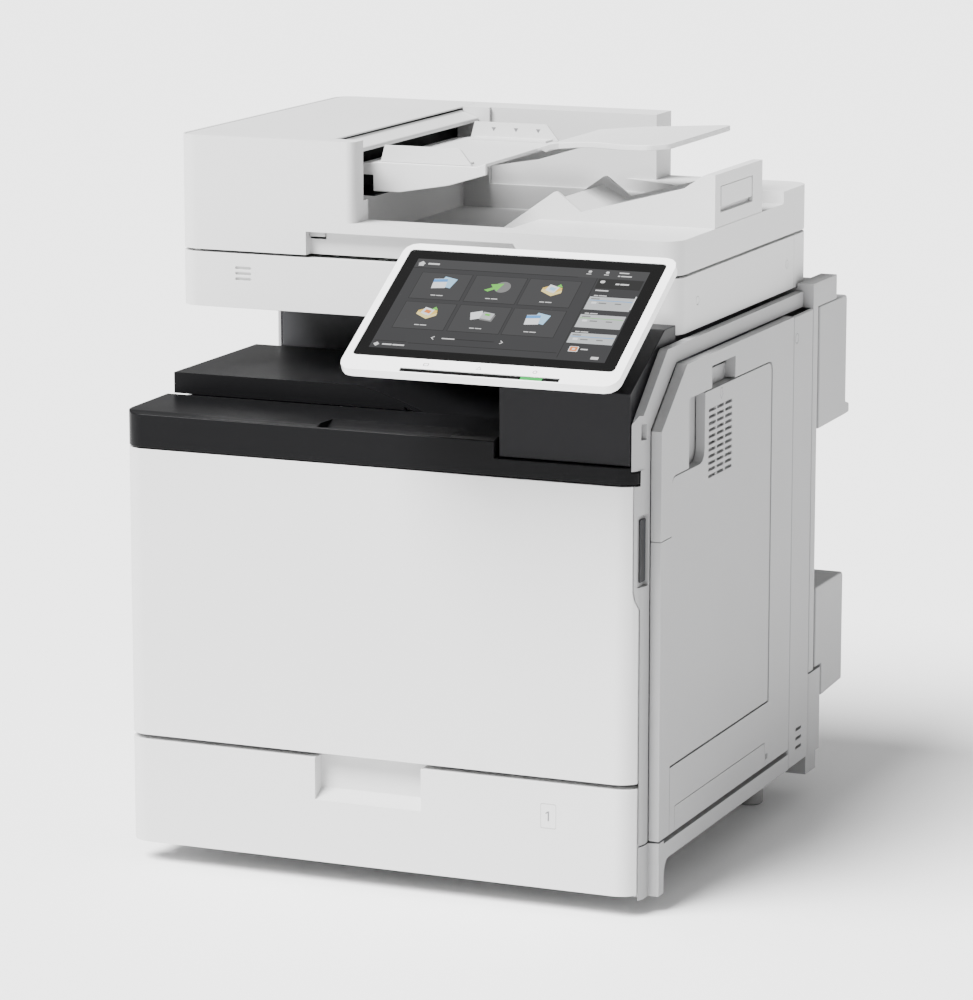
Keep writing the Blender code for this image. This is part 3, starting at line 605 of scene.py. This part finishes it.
def arc_corners(corners: Iterable[Point], steps: int = 8) -> list[tuple]:
    """An outline whose corners (a, b, radius) are round.

    Args:
        corners: Corners as (a, b) or (a, b, radius).
        steps: Facets in each round corner.

    Returns:
        The outline's points.
    """
    corners = list(corners)
    points = []
    for index, corner in enumerate(corners):
        here = Vector(corner[:2])
        radius = corner[2] if len(corner) > 2 else 0.0
        if radius == 0.0:
            points.append(tuple(here))
            continue
        before = (Vector(corners[index - 1][:2]) - here).normalized()
        after = (Vector(corners[(index + 1) % len(corners)][:2]) - here).normalized()
        half = before.angle(after) / 2
        reach = radius / math.tan(half)
        centre = here + (before + after).normalized() * (radius / math.sin(half))
        start = here + before * reach - centre
        turn = -start.angle_signed(here + after * reach - centre)
        for step in range(steps + 1):
            angle = turn * step / steps
            spin = Vector((
                start.x * math.cos(angle) - start.y * math.sin(angle),
                start.x * math.sin(angle) + start.y * math.cos(angle),
            ))
            points.append(tuple(centre + spin))
    return points


def rectangle(low: Point, high: Point, radius: float = 0.0) -> list[tuple]:
    """A rectangle's outline with round corners."""
    return arc_corners([
        (low[0], low[1], radius),
        (high[0], low[1], radius),
        (high[0], high[1], radius),
        (low[0], high[1], radius),
    ])


# ---------------------------------------------------------------- sub-assemblies


@dataclass
class Underframe:
    """The bottom pan and its feet."""

    edge: float = 0.0010
    feet: tuple = ("foot_front_left", "foot_front_right", "foot_rear_left", "foot_rear_right")

    def build(self) -> None:
        """Makes the pan and the four feet."""
        Refit("base_frame", Paint.GREY, self.edge).build()
        for foot in self.feet:
            Refit(foot, Paint.FOOT, 0.0015, 3).build()


@dataclass
class BodyCovers:
    """The fixed covers round the sides and the back."""

    edge: float = 0.0010
    face: float = 0.2522
    slot_heights: tuple = (0.0600, 0.0690, 0.0780)
    slot_reach: tuple = (0.1765, 0.1935)
    slot_tall: float = 0.0030
    slot_deep: float = 0.004
    cap_place: tuple = (0.1646, 0.4620)
    cap_radius: float = 0.0050
    groove: float = 0.0006
    groove_deep: float = 0.0008

    def slots(self) -> Piece:
        """The cutter of three short air slots low on the rear strip."""
        made = []
        for low in self.slot_heights:
            near, far = self.slot_reach
            points = rectangle((near, low), (far, low + self.slot_tall), self.slot_tall / 3)
            made.append(Bench.prism("air_slot", points, Axis.X, (self.face - self.slot_deep, self.face + MM)))
        return Bench.gather(made, "air_slots")

    def cap(self) -> Piece:
        """The groove round a screw cap near the top of the rear strip."""
        span = (self.face - self.groove_deep, self.face + MM)
        return Bench.ring("cap_groove", Axis.X, self.cap_place, self.cap_radius, self.groove, span)

    def build(self) -> None:
        """Makes the side and rear covers, the boxes and the power inlet."""
        for node in ("left_cover", "side_trim", "rear_cover"):
            Refit(node, Paint.GREY, self.edge).build()
        Refit("right_rear_cover", Paint.GREY, self.edge).build(self.slots(), self.cap())
        for node in ("rear_box_upper", "rear_box_lower"):
            Refit(node, Paint.GREY, 0.0015, 3).build()
        Refit("power_inlet", Paint.BLACK, 0.0006).build()
        Refit("power_switch", Paint.BLACK, 0.0005).build()


@dataclass
class Front:
    """The front cover, the black band over it and the output tray."""

    edge: float = 0.0012

    def build(self) -> None:
        """Makes the cover, band, tray, inner walls and panel foot."""
        Refit("front_cover", Paint.WHITE, self.edge, 3).build()
        Refit("front_trim", Paint.BLACK, 0.003, 4).build()
        Refit("output_tray", Paint.BLACK, 0.0015, 3).build()
        Refit("inner_wall", Paint.CHARCOAL, 0.0008).build()
        Refit("panel_box", Paint.DARK_BOX, 0.002, 3).build()


@dataclass
class PaperDrawer:
    """The drawer's front with its hand recess and number, and the box behind it."""

    edge: float = 0.0012
    label_low: tuple = (0.1520, 0.0755)
    label_high: tuple = (0.1670, 0.0985)
    label_corner: float = 0.0015
    label_inside: float = 0.93
    face: tuple = (-0.22708, -0.2268)

    def number(self) -> None:
        """A thin label outline with a plain number one in it."""
        border = rectangle(self.label_low, self.label_high, self.label_corner)
        outline = Bench.hollow("label", border, Axis.Y, self.face, self.label_inside)
        x, z = ((low + high) / 2 for low, high in zip(self.label_low, self.label_high))
        digit = Bench.prism("digit", [
            (x - 0.0006, z - 0.0045), (x + 0.0008, z - 0.0045), (x + 0.0008, z + 0.0045),
            (x - 0.0004, z + 0.0045), (x - 0.0026, z + 0.0030), (x - 0.0026, z + 0.0018),
            (x - 0.0006, z + 0.0028),
        ], Axis.Y, self.face)
        body = body_of("cassette_front")
        Bench.dress(outline, Paint.LABEL, body, slot_of("cassette_front"))
        Bench.dress(digit, Paint.MARK, body, slot_of("cassette_front"))

    def build(self) -> None:
        """Makes the front, the box, the lift plate and the guides."""
        Refit("cassette_front", Paint.WHITE, self.edge, 3).build()
        self.number()
        Refit("cassette_body", Paint.CHARCOAL, 0.0008).build()
        Refit("lift_plate", Paint.STEEL, 0.0003).build()
        for node in ("cassette_guide_front", "cassette_guide_rear", "cassette_end_guide"):
            Refit(node, Paint.CHARCOAL, 0.0008).build()


@dataclass
class SideDoor:
    """The side door, the bypass tray in it and the door's latch."""

    edge: float = 0.0012
    face: float = 0.2523
    rows: int = 11
    row_pitch: float = 0.0060
    lowest_row: float = 0.3710
    columns: tuple = (-0.0750, -0.0535, -0.0320)
    slot_size: tuple = (0.0185, 0.0026)
    slot_corner: float = 0.0009
    slot_deep: float = 0.0045
    seam_deep: float = 0.0016
    hole_places: tuple = (0.0885, 0.0920)
    hole_size: tuple = (0.0024, 0.0055)
    hole_low: float = 0.0715
    hole_deep: float = 0.004

    def seams(self) -> list[Piece]:
        """The cutters of the door's panel lines and of two small square holes."""
        deep, out = self.face - self.seam_deep, self.face + MM
        front = Bench.prism("seam_front", [
            (0.2300, -0.1975), (out, -0.1975), (out, -0.1697), (deep, -0.1697), (deep, -0.1948),
            (0.2300, -0.1948),
        ], Axis.Z, (0.3352, 0.3360))
        side = Bench.block("seam_side", (deep, -0.1703, 0.0600), (out, -0.1695, 0.1265))
        low = Bench.prism("seam_low", [
            (-0.1562, 0.0600), (-0.1562, 0.0888), (0.0862, 0.0888), (0.0862, 0.0600), (0.0855, 0.0600),
            (0.0855, 0.0881), (-0.1555, 0.0881), (-0.1555, 0.0600),
        ], Axis.X, (deep, out))
        wide, tall = self.hole_size
        floor, top = self.face - self.hole_deep, self.hole_low + tall
        holes = [
            Bench.block("hole", (floor, y, self.hole_low), (out, y + wide, top))
            for y in self.hole_places
        ]
        return [front, side, low, *holes]

    def vents(self) -> Piece:
        """The cutter of the rows of air slots in the bypass tray."""
        made = []
        for row in range(self.rows):
            for y in self.columns:
                z = self.lowest_row + row * self.row_pitch
                far = (y + self.slot_size[0], z + self.slot_size[1])
                points = rectangle((y, z), far, self.slot_corner)
                made.append(Bench.prism("vent", points, Axis.X, (self.face - self.slot_deep, self.face + MM)))
        return Bench.gather(made, "vents")

    def symbol(self) -> None:
        """An outlined arrow over the air slots."""
        arrow = Bench.hollow("bypass_arrow", [
            (-0.0452, 0.4485), (-0.0398, 0.4485), (-0.0398, 0.4425), (-0.0378, 0.4425), (-0.0425, 0.4375),
            (-0.0472, 0.4425), (-0.0452, 0.4425),
        ], Axis.X, (self.face - 0.0008, self.face - 0.0005), 0.8)
        Bench.dress(arrow, Paint.MARK, body_of("bypass_tray"), slot_of("bypass_tray"))

    def build(self) -> None:
        """Makes the door, tray and latch."""
        Refit("side_door", Paint.GREY, self.edge, 3).build(*self.seams())
        Refit("bypass_tray", Paint.GREY, 0.0006).build(self.vents())
        self.symbol()
        Refit("door_latch", Paint.CHARCOAL, 0.0004).build()


@dataclass
class Scanner:
    """The flatbed housing, its glass, carriage and hinges."""

    edge: float = 0.0012
    front: float = -0.1100
    right: float = 0.2338
    slot_heights: tuple = (0.5287, 0.5338, 0.5389)
    slot_reach: tuple = (-0.1995, -0.1835)
    slot_tall: float = 0.0027
    slot_corner: float = 0.0012
    slot_deep: float = 0.0022
    cap_places: tuple = ((-0.0582, 0.5285), (0.1862, 0.5285))
    cap_radius: float = 0.0042
    groove: float = 0.0006
    groove_deep: float = 0.0008
    line_place: float = 0.2065
    line_deep: float = 0.0015

    def slots(self) -> Piece:
        """The cutter of three sound slots in the front."""
        made = []
        left, right = self.slot_reach
        span = (self.front - MM, self.front + self.slot_deep)
        for low in self.slot_heights:
            points = rectangle((left, low), (right, low + self.slot_tall), self.slot_corner)
            made.append(Bench.prism("sound_slot", points, Axis.Y, span))
        return Bench.gather(made, "sound_slots")

    def side_lines(self) -> list[Piece]:
        """The cutters of two cap grooves and a panel line on the right."""
        span = (self.right - self.groove_deep, self.right + MM)
        caps = [
            Bench.ring("cap", Axis.X, place, self.cap_radius, self.groove, span)
            for place in self.cap_places
        ]
        low, high = SCANNER_HEIGHTS
        line = Bench.block("line", (self.right - self.line_deep, self.line_place, low),
                           (self.right + MM, self.line_place + LINE, high))
        return [*caps, line]

    def build(self) -> None:
        """Makes the scanner's pieces."""
        Refit("scanner_housing", Paint.WHITE, self.edge, 3).build(self.slots(), *self.side_lines())
        Refit("platen_glass", Paint.PLATEN, 0.0004).build()
        Refit("scan_carriage", Paint.CHARCOAL, 0.0008).build()
        for node in ("lid_hinge_left", "lid_hinge_right"):
            Refit(node, Paint.GREY, 0.0015, 3).build()


@dataclass
class DocumentFeeder:
    """The lid that feeds originals."""

    edge: float = 0.0015
    arrow_places: tuple = (-0.0560, -0.0330, -0.0100)

    def throat(self) -> None:
        """Thin black sheets on the wall and floor inside the feeding mouth, part black plastic and part
        painted shade of the deep mouth.
        """
        # painted shade: these thin black sheets darken the deep feeding mouth, besides standing for its black
        # plastic
        wall = Bench.block("mouth_wall_black_and_painted_shade", (-0.1190, -0.0900, 0.5740), (-0.1170, 0.2120, 0.6440))
        floor = Bench.block("mouth_floor_black_and_painted_shade", (-0.1175, -0.0580, 0.6063), (-0.0815, 0.2040, 0.6072))
        for piece in (wall, floor):
            Bench.dress(piece, Paint.BLACK, body_of("feeder_base"), "black_plastic")
        rib = Bench.block("grip_wall", (-0.1290, -0.0990, 0.5700), (-0.1120, -0.0972, 0.5790))
        Bench.dress(rib, Paint.WHITE, body_of("feeder_base"), slot_of("feeder_base"))

    def arrows(self) -> None:
        """Three small marks on the rear guide that show the paper's fill line."""
        made = []
        for x in self.arrow_places:
            points = [(x - 0.0024, 0.6478), (x + 0.0024, 0.6478), (x, 0.6440)]
            made.append(Bench.prism("fill_mark", points, Axis.Y, (0.16190, 0.1621)))
        marks = Bench.gather(made, "fill_marks")
        Bench.dress(marks, Paint.MARK, body_of("guide_rear"), slot_of("guide_rear"))

    def build(self) -> None:
        """Makes the feeder's pieces."""
        Refit("feeder_base", Paint.WHITE, self.edge, 3).build()
        Refit("platen_pad", Paint.WHITE, 0.0003).build()
        Refit("feeder_cover", Paint.WHITE, self.edge, 3).build()
        Refit("feed_roller", Paint.RUBBER, 0.0005).build()
        Refit("input_tray", Paint.WHITE, 0.0015, 3).build()
        for node in ("guide_front", "guide_rear", "stop_flap"):
            Refit(node, Paint.WHITE, 0.0004).build()
        self.throat()
        self.arrows()


@dataclass
class PrintEngine:
    """The plates, rollers, drums and bottles inside."""

    stations: int = 4

    def build(self) -> None:
        """Makes the inner pieces."""
        Refit("engine_floor", Paint.STEEL, 0.0003).build()
        Refit("engine_front_plate", Paint.CHARCOAL, 0.0004).build()
        Refit("engine_rear_plate", Paint.STEEL, 0.0).build()
        Refit("laser_unit", Paint.CHARCOAL, 0.0015).build()
        Refit("transfer_belt", Paint.BELT, 0.0002).build()
        for number in range(1, self.stations + 1):
            Refit(f"drum_{number}", Paint.DRUM, 0.0004).build()
            Refit(f"toner_bottle_{number}", Paint.BLACK, 0.0008).build()
        for node in ("fixing_roller", "pressure_roller"):
            Refit(node, Paint.SLEEVE, 0.0005).build()
        for node in ("delivery_roller", "pickup_roller"):
            Refit(node, Paint.RUBBER, 0.0005).build()


@dataclass
class ScreenPicture:
    """What the touch screen shows: generic tiles, cards and icons, as thin plates on the glass."""

    origin: tuple
    tilt: float
    width: float = 221.5
    height: float = 124.6
    lift: float = 0.05
    squeeze: float = 0.985
    inset: float = 0.0004
    layers: dict = field(default_factory=dict)

    def plate(self, paint: Paint, points: Sequence[Point], level: int = 0) -> None:
        """Adds one flat shape.

        Args:
            paint: Its colour.
            points: Its outline on the screen in millimetres.
            level: How many layers it lies over.
        """
        bottom = self.lift * level - 0.45
        made = Bench.prism("plate", [(x * MM, y * MM) for x, y in points], Axis.Z,
                           (bottom * MM, (bottom + self.lift + 0.06) * MM))
        self.layers.setdefault(paint, []).append(made)

    def bar(self, paint: Paint, x: float, y: float, width: float, height: float, level: int = 2,
            radius: float = 0.0) -> None:
        """Adds a rectangle by its lower left corner and size."""
        self.plate(paint, rectangle((x, y), (x + width, y + height), radius), level)

    def words(self, x: float, y: float, lengths: Sequence[float], height: float = 1.0) -> None:
        """Adds short bars that stand for words."""
        for length in lengths:
            self.bar(Paint.SCREEN_TEXT, x, y, length, height, 3)
            x += length + 0.9

    def turned(self, paint: Paint, centre: Point, size: Point, degrees: float, level: int) -> None:
        """Adds a turned rectangle by its centre, size and angle."""
        angle = math.radians(degrees)
        points = []
        for a, b in ((-1, -1), (1, -1), (1, 1), (-1, 1)):
            x, y = a * size[0] / 2, b * size[1] / 2
            points.append((
                centre[0] + x * math.cos(angle) - y * math.sin(angle),
                centre[1] + x * math.sin(angle) + y * math.cos(angle),
            ))
        self.plate(paint, points, level)

    def pages(self, x: float, y: float) -> None:
        """Two leaning pages with a blue head."""
        self.turned(Paint.SCREEN_SKY, (x + 4, y + 2), (13, 13), -14, 3)
        self.turned(Paint.SCREEN_WHITE, (x - 3, y), (13, 13), 6, 4)
        self.turned(Paint.SCREEN_BLUE, (x - 3.4, y + 4), (13, 4), 6, 5)

    def arrow(self, x: float, y: float) -> None:
        """A green arrow before a grey disc."""
        angles = [step * math.pi / 12 for step in range(24)]
        disc = [(x + 5 + 7.5 * math.cos(angle), y + 7.5 * math.sin(angle)) for angle in angles]
        self.plate(Paint.SCREEN_GREY, disc, 3)
        self.plate(Paint.SCREEN_GREEN, [
            (x - 11, y - 5), (x - 4, y - 1), (x - 7, y + 3), (x + 5, y + 5), (x + 1, y - 6), (x - 1, y - 3),
            (x - 7, y - 7),
        ], 4)

    def tray(self, x: float, y: float, inner: Paint) -> None:
        """A yellow tray that holds a page."""
        self.plate(Paint.SCREEN_YELLOW, [(x - 9, y - 2), (x + 2, y - 8), (x + 10, y - 3), (x + 9, y + 4),
                                         (x - 1, y + 7), (x - 9, y + 3)], 3)
        self.turned(Paint.SCREEN_WHITE, (x, y + 2), (10, 9), -18, 4)
        self.turned(inner, (x + 0.5, y + 2), (6, 4), -18, 5)
        self.plate(Paint.SCREEN_AMBER, [(x - 9, y - 2), (x + 2, y - 8), (x + 10, y - 3), (x + 10, y + 0.5),
                                        (x + 2, y - 4), (x - 9, y + 1.5)], 6)
        self.plate(Paint.SCREEN_GREEN, [(x + 3, y + 5), (x + 6, y + 9), (x + 9, y + 5)], 6)

    def sheets(self, x: float, y: float) -> None:
        """Three white sheets."""
        self.turned(Paint.SCREEN_GREY, (x + 6, y - 1), (12, 9), -8, 3)
        self.turned(Paint.SCREEN_WHITE, (x - 5, y + 1), (11, 10), 18, 4)
        self.turned(Paint.SCREEN_CARD, (x + 5, y + 1), (11, 9), -10, 5)
        self.turned(Paint.SCREEN_GREEN, (x + 5, y + 2.5), (5, 2.5), -10, 6)

    def tiles(self) -> None:
        """The six large tiles with their icons and labels."""
        columns = (11.0, 63.4, 114.8)
        icons = (
            (self.tray, (Paint.SCREEN_ORANGE,)), (self.sheets, ()), (self.pages, ()),
            (self.pages, ()), (self.arrow, ()), (self.tray, (Paint.SCREEN_SKY,)),
        )
        for index, (draw, extra) in enumerate(icons):
            x = columns[index % 3]
            y = 28.0 if index < 3 else 69.3
            self.bar(Paint.SCREEN_LINE, x, y, 49.2, 37.0, 1)
            self.bar(Paint.SCREEN_TILE, x + 0.5, y + 0.5, 48.2, 36.0, 2)
            draw(x + 25.0, y + 22.5, *extra)
            self.words(x + 19.5, y + 5.4, (4.5, 6.0))

    def cards(self) -> None:
        """The list of light cards at the right."""
        self.bar(Paint.SCREEN_LINE, 176.0, 3.0, 0.5, 109.0)
        for top, tint in ((87.0, Paint.SCREEN_BLUE), (62.4, Paint.SCREEN_GREEN), (37.2, Paint.SCREEN_BLUE)):
            tall = 17.6 if top > 40 else 13.6
            self.words(181.0, top + 1.2, (4.0, 7.0))
            self.bar(Paint.SCREEN_CARD, 178.0, top - tall, 42.0, tall, 2)
            self.bar(Paint.SCREEN_GREY, 180.0, top - 3.6, 8.0, 1.4, 4)
            self.bar(tint, 178.8, top - 5.2, 40.4, 0.6, 4)
            self.bar(Paint.SCREEN_WHITE, 182.0, top - 9.6, 4.6, 2.6, 4, 0.6)
            self.bar(Paint.SCREEN_GREY, 189.0, top - 9.2, 7.0, 1.4, 4)
            self.bar(Paint.SCREEN_GREY, 204.0, top - 9.2, 6.0, 1.4, 4)
        self.bar(Paint.SCREEN_WHITE, 219.8, 72.0, 1.0, 18.0, 4)
        self.words(180.0, 95.0, (12.0,), 1.4)
        self.bar(Paint.SCREEN_WHITE, 183.2, 12.0, 8.6, 7.0, 3, 0.8)
        self.bar(Paint.SCREEN_ORANGE, 184.0, 12.7, 7.0, 5.6, 4, 0.6)
        self.bar(Paint.SCREEN_WHITE, 186.2, 14.4, 2.6, 2.2, 5)
        self.words(194.0, 15.0, (6.5,), 1.4)

    def head_and_foot(self) -> None:
        """The bars along the top and the bottom, with their small marks."""
        self.bar(Paint.SCREEN_TILE, 0.0, 112.5, self.width, 12.1, 1)
        self.bar(Paint.SCREEN_LINE, 0.0, 112.0, 158.0, 0.5)
        self.plate(Paint.SCREEN_TEXT, [(2.4, 117.8), (6.0, 121.4), (9.6, 117.8), (8.4, 117.8), (8.4, 114.8),
                                       (3.6, 114.8), (3.6, 117.8)], 3)
        self.words(12.0, 117.2, (11.0,), 2.0)
        for x in (164.0, 180.5):
            self.words(x, 117.0, (4.5,), 0.8)
            self.bar(Paint.SCREEN_TEXT, x + 1.0, 119.4, 3.0, 2.6, 3, 0.8)
        self.words(194.0, 120.4, (9.0,), 1.3)
        self.words(194.0, 116.0, (2.0, 10.0), 1.3)
        self.bar(Paint.SCREEN_LINE, 178.0, 98.8, 42.0, 13.0, 1)
        self.bar(Paint.SCREEN_TEXT, 180.5, 106.0, 4.4, 3.4, 3, 1.4)
        self.words(195.5, 104.6, (3.6, 8.0), 1.8)
        self.bar(Paint.SCREEN_LINE, 34.0, 8.6, 140.0, 0.5)
        self.bar(Paint.SCREEN_LINE, 2.0, 9.6, 30.0, 0.5)
        self.plate(Paint.SCREEN_TEXT, [(2.6, 4.8), (5.4, 7.6), (8.2, 4.8), (5.4, 2.0)], 3)
        self.words(11.0, 4.2, (9.0, 11.0), 1.6)
        for x, way in ((52.6, 1), (121.0, -1)):
            self.plate(Paint.SCREEN_TEXT, [
                (x, 17.6), (x + 2.8 * way, 20.0), (x + 3.2 * way, 19.4), (x + 1.2 * way, 17.6),
                (x + 3.2 * way, 15.8), (x + 2.8 * way, 15.2),
            ], 3)
        self.bar(Paint.SCREEN_LINE, 63.0, 17.3, 49.0, 0.7)
        self.bar(Paint.SCREEN_TEXT, 63.0, 17.0, 12.0, 1.2, 3)
        self.bar(Paint.SCREEN_TEXT, 207.0, 3.4, 7.0, 3.4, 3, 0.5)

    def build(self) -> None:
        """Lays out the picture and sets it into the panel."""
        self.bar(Paint.SCREEN, 0.0, 0.0, self.width, self.height, 0)
        self.tiles()
        self.cards()
        self.head_and_foot()
        for paint, plates in self.layers.items():
            piece = Bench.gather(plates, paint.value.name)
            piece.scale.x = self.squeeze
            piece.rotation_euler.x = self.tilt
            piece.location = (self.origin[0] + self.inset, *self.origin[1:])
            Bench.dress(piece, paint, "control_panel", "glass")


@dataclass
class ControlPanel:
    """The tilting panel: white frame, touch glass, status lamp and housing."""

    origin: tuple = (0.01975, -0.29865, 0.50955)
    tilt: float = math.radians(30.1)
    lamp: tuple = (151.3, 171.2)

    def set_in(self, piece: Piece, paint: Paint, slot: str) -> None:
        """Turns a piece from the panel's own plane into place and dresses it."""
        piece.rotation_euler.x = self.tilt
        piece.location = self.origin
        Bench.dress(piece, paint, "control_panel", slot)

    def strip(self) -> None:
        """The dark status strip and the lit part of it."""
        strip = Bench.prism("status_strip", rectangle((0.0403, -0.0293), (0.1867, -0.0249), 0.0005), Axis.Z,
                            (-0.0024, -0.0006))
        self.set_in(strip, Paint.TOUCH, "black_plastic")
        left, right = (x * MM for x in self.lamp)
        lit = Bench.prism("status_lamp", rectangle((left, -0.0290), (right, -0.0252), 0.0005), Axis.Z,
                          (-0.0008, -0.0004))
        self.set_in(lit, Paint.LAMP_GREEN, "black_plastic")

    def marks(self) -> None:
        """Three small printed marks over the strip."""
        plates = []
        shapes = (
            rectangle((0.0590, -0.0205), (0.0640, -0.0170), 0.0006),
            [(0.1080, -0.0205), (0.1132, -0.0205), (0.1106, -0.0163)],
            rectangle((0.1600, -0.0208), (0.1640, -0.0168), 0.0019),
        )
        for points in shapes:
            plates.append(Bench.hollow("mark", points, Axis.Z, (-0.0001, 0.00006), 0.7))
        self.set_in(Bench.gather(plates, "panel_marks"), Paint.MARK, "white_plastic")

    def build(self) -> None:
        """Makes the panel's pieces and the screen's picture."""
        Refit("panel_frame", Paint.PANEL_WHITE, 0.0022, 4).build()
        Refit("touch_glass", Paint.TOUCH, 0.0003).build()
        Refit("panel_housing", Paint.CHARCOAL, 0.0015, 3).build()
        self.strip()
        self.marks()
        ScreenPicture(self.origin, self.tilt).build()


@dataclass
class Studio:
    """The floor, the light and the camera."""

    camera_place: tuple = (1.55615, -3.6846, 1.1192)
    camera_down: float = 11.330
    camera_left: float = 22.834
    lens: float = 157.16
    floor_size: float = 60.0
    sky: float = 0.60
    key: float = 14.4

    def build(self) -> None:
        """Sets up the floor, lights and camera."""
        self.floor()
        self.light()
        self.camera()

    def floor(self) -> None:
        """A plain pale floor."""
        bpy.ops.mesh.primitive_plane_add(size=self.floor_size)
        floor = bpy.context.object
        floor.name = "floor"
        paper = Moulded("floor_paper", (0.86, 0.86, 0.86), 0.9, grain=0.004, depth=0.00001, drift=0.004)
        floor.data.materials.append(paper.build())

    def light(self) -> None:
        """An even sky and one soft key from the front left."""
        world = bpy.data.worlds.new("studio")
        bpy.context.scene.world = world
        world.use_nodes = True
        world.node_tree.nodes["Background"].inputs["Color"].default_value = (1.0, 1.0, 1.0, 1.0)
        world.node_tree.nodes["Background"].inputs["Strength"].default_value = self.sky
        self.sun("key", self.key, (37.0, 0.0, -32.0), 34.0)

    def sun(self, name: str, strength: float, turn: Point, softness: float) -> None:
        """Adds a distant soft light.

        Args:
            name: The light's name.
            strength: Its strength.
            turn: Its Euler angles in degrees.
            softness: The width of its disc in degrees.
        """
        bpy.ops.object.light_add(type="SUN", rotation=[math.radians(value) for value in turn])
        lamp = bpy.context.object
        lamp.name = name
        lamp.data.energy = strength
        lamp.data.angle = math.radians(softness)

    def camera(self) -> None:
        """The camera, with no shift and no depth of field."""
        turn = (math.radians(90.0 - self.camera_down), 0.0, math.radians(self.camera_left))
        bpy.ops.object.camera_add(location=self.camera_place, rotation=turn)
        camera = bpy.context.object
        camera.name = "camera"
        camera.data.lens = self.lens
        camera.data.sensor_width = 36.0
        camera.data.clip_end = 200.0
        bpy.context.scene.camera = camera


def main() -> None:
    """Builds every sub-assembly, then the studio."""
    logging.basicConfig(level=logging.INFO, format="%(message)s")
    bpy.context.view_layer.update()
    assemblies = (
        Underframe(), BodyCovers(), Front(), PaperDrawer(), SideDoor(), Scanner(), DocumentFeeder(),
        PrintEngine(), ControlPanel(), Studio(),
    )
    for assembly in assemblies:
        LOG.info("building %s", type(assembly).__name__)
        assembly.build()


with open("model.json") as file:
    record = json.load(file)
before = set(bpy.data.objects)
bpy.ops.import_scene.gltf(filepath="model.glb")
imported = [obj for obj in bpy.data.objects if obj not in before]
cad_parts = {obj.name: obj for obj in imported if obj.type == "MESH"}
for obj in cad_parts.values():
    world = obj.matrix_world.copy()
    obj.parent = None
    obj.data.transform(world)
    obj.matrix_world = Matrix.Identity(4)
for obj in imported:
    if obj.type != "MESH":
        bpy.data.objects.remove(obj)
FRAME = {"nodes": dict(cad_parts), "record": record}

if __name__ == "__main__":
    main()
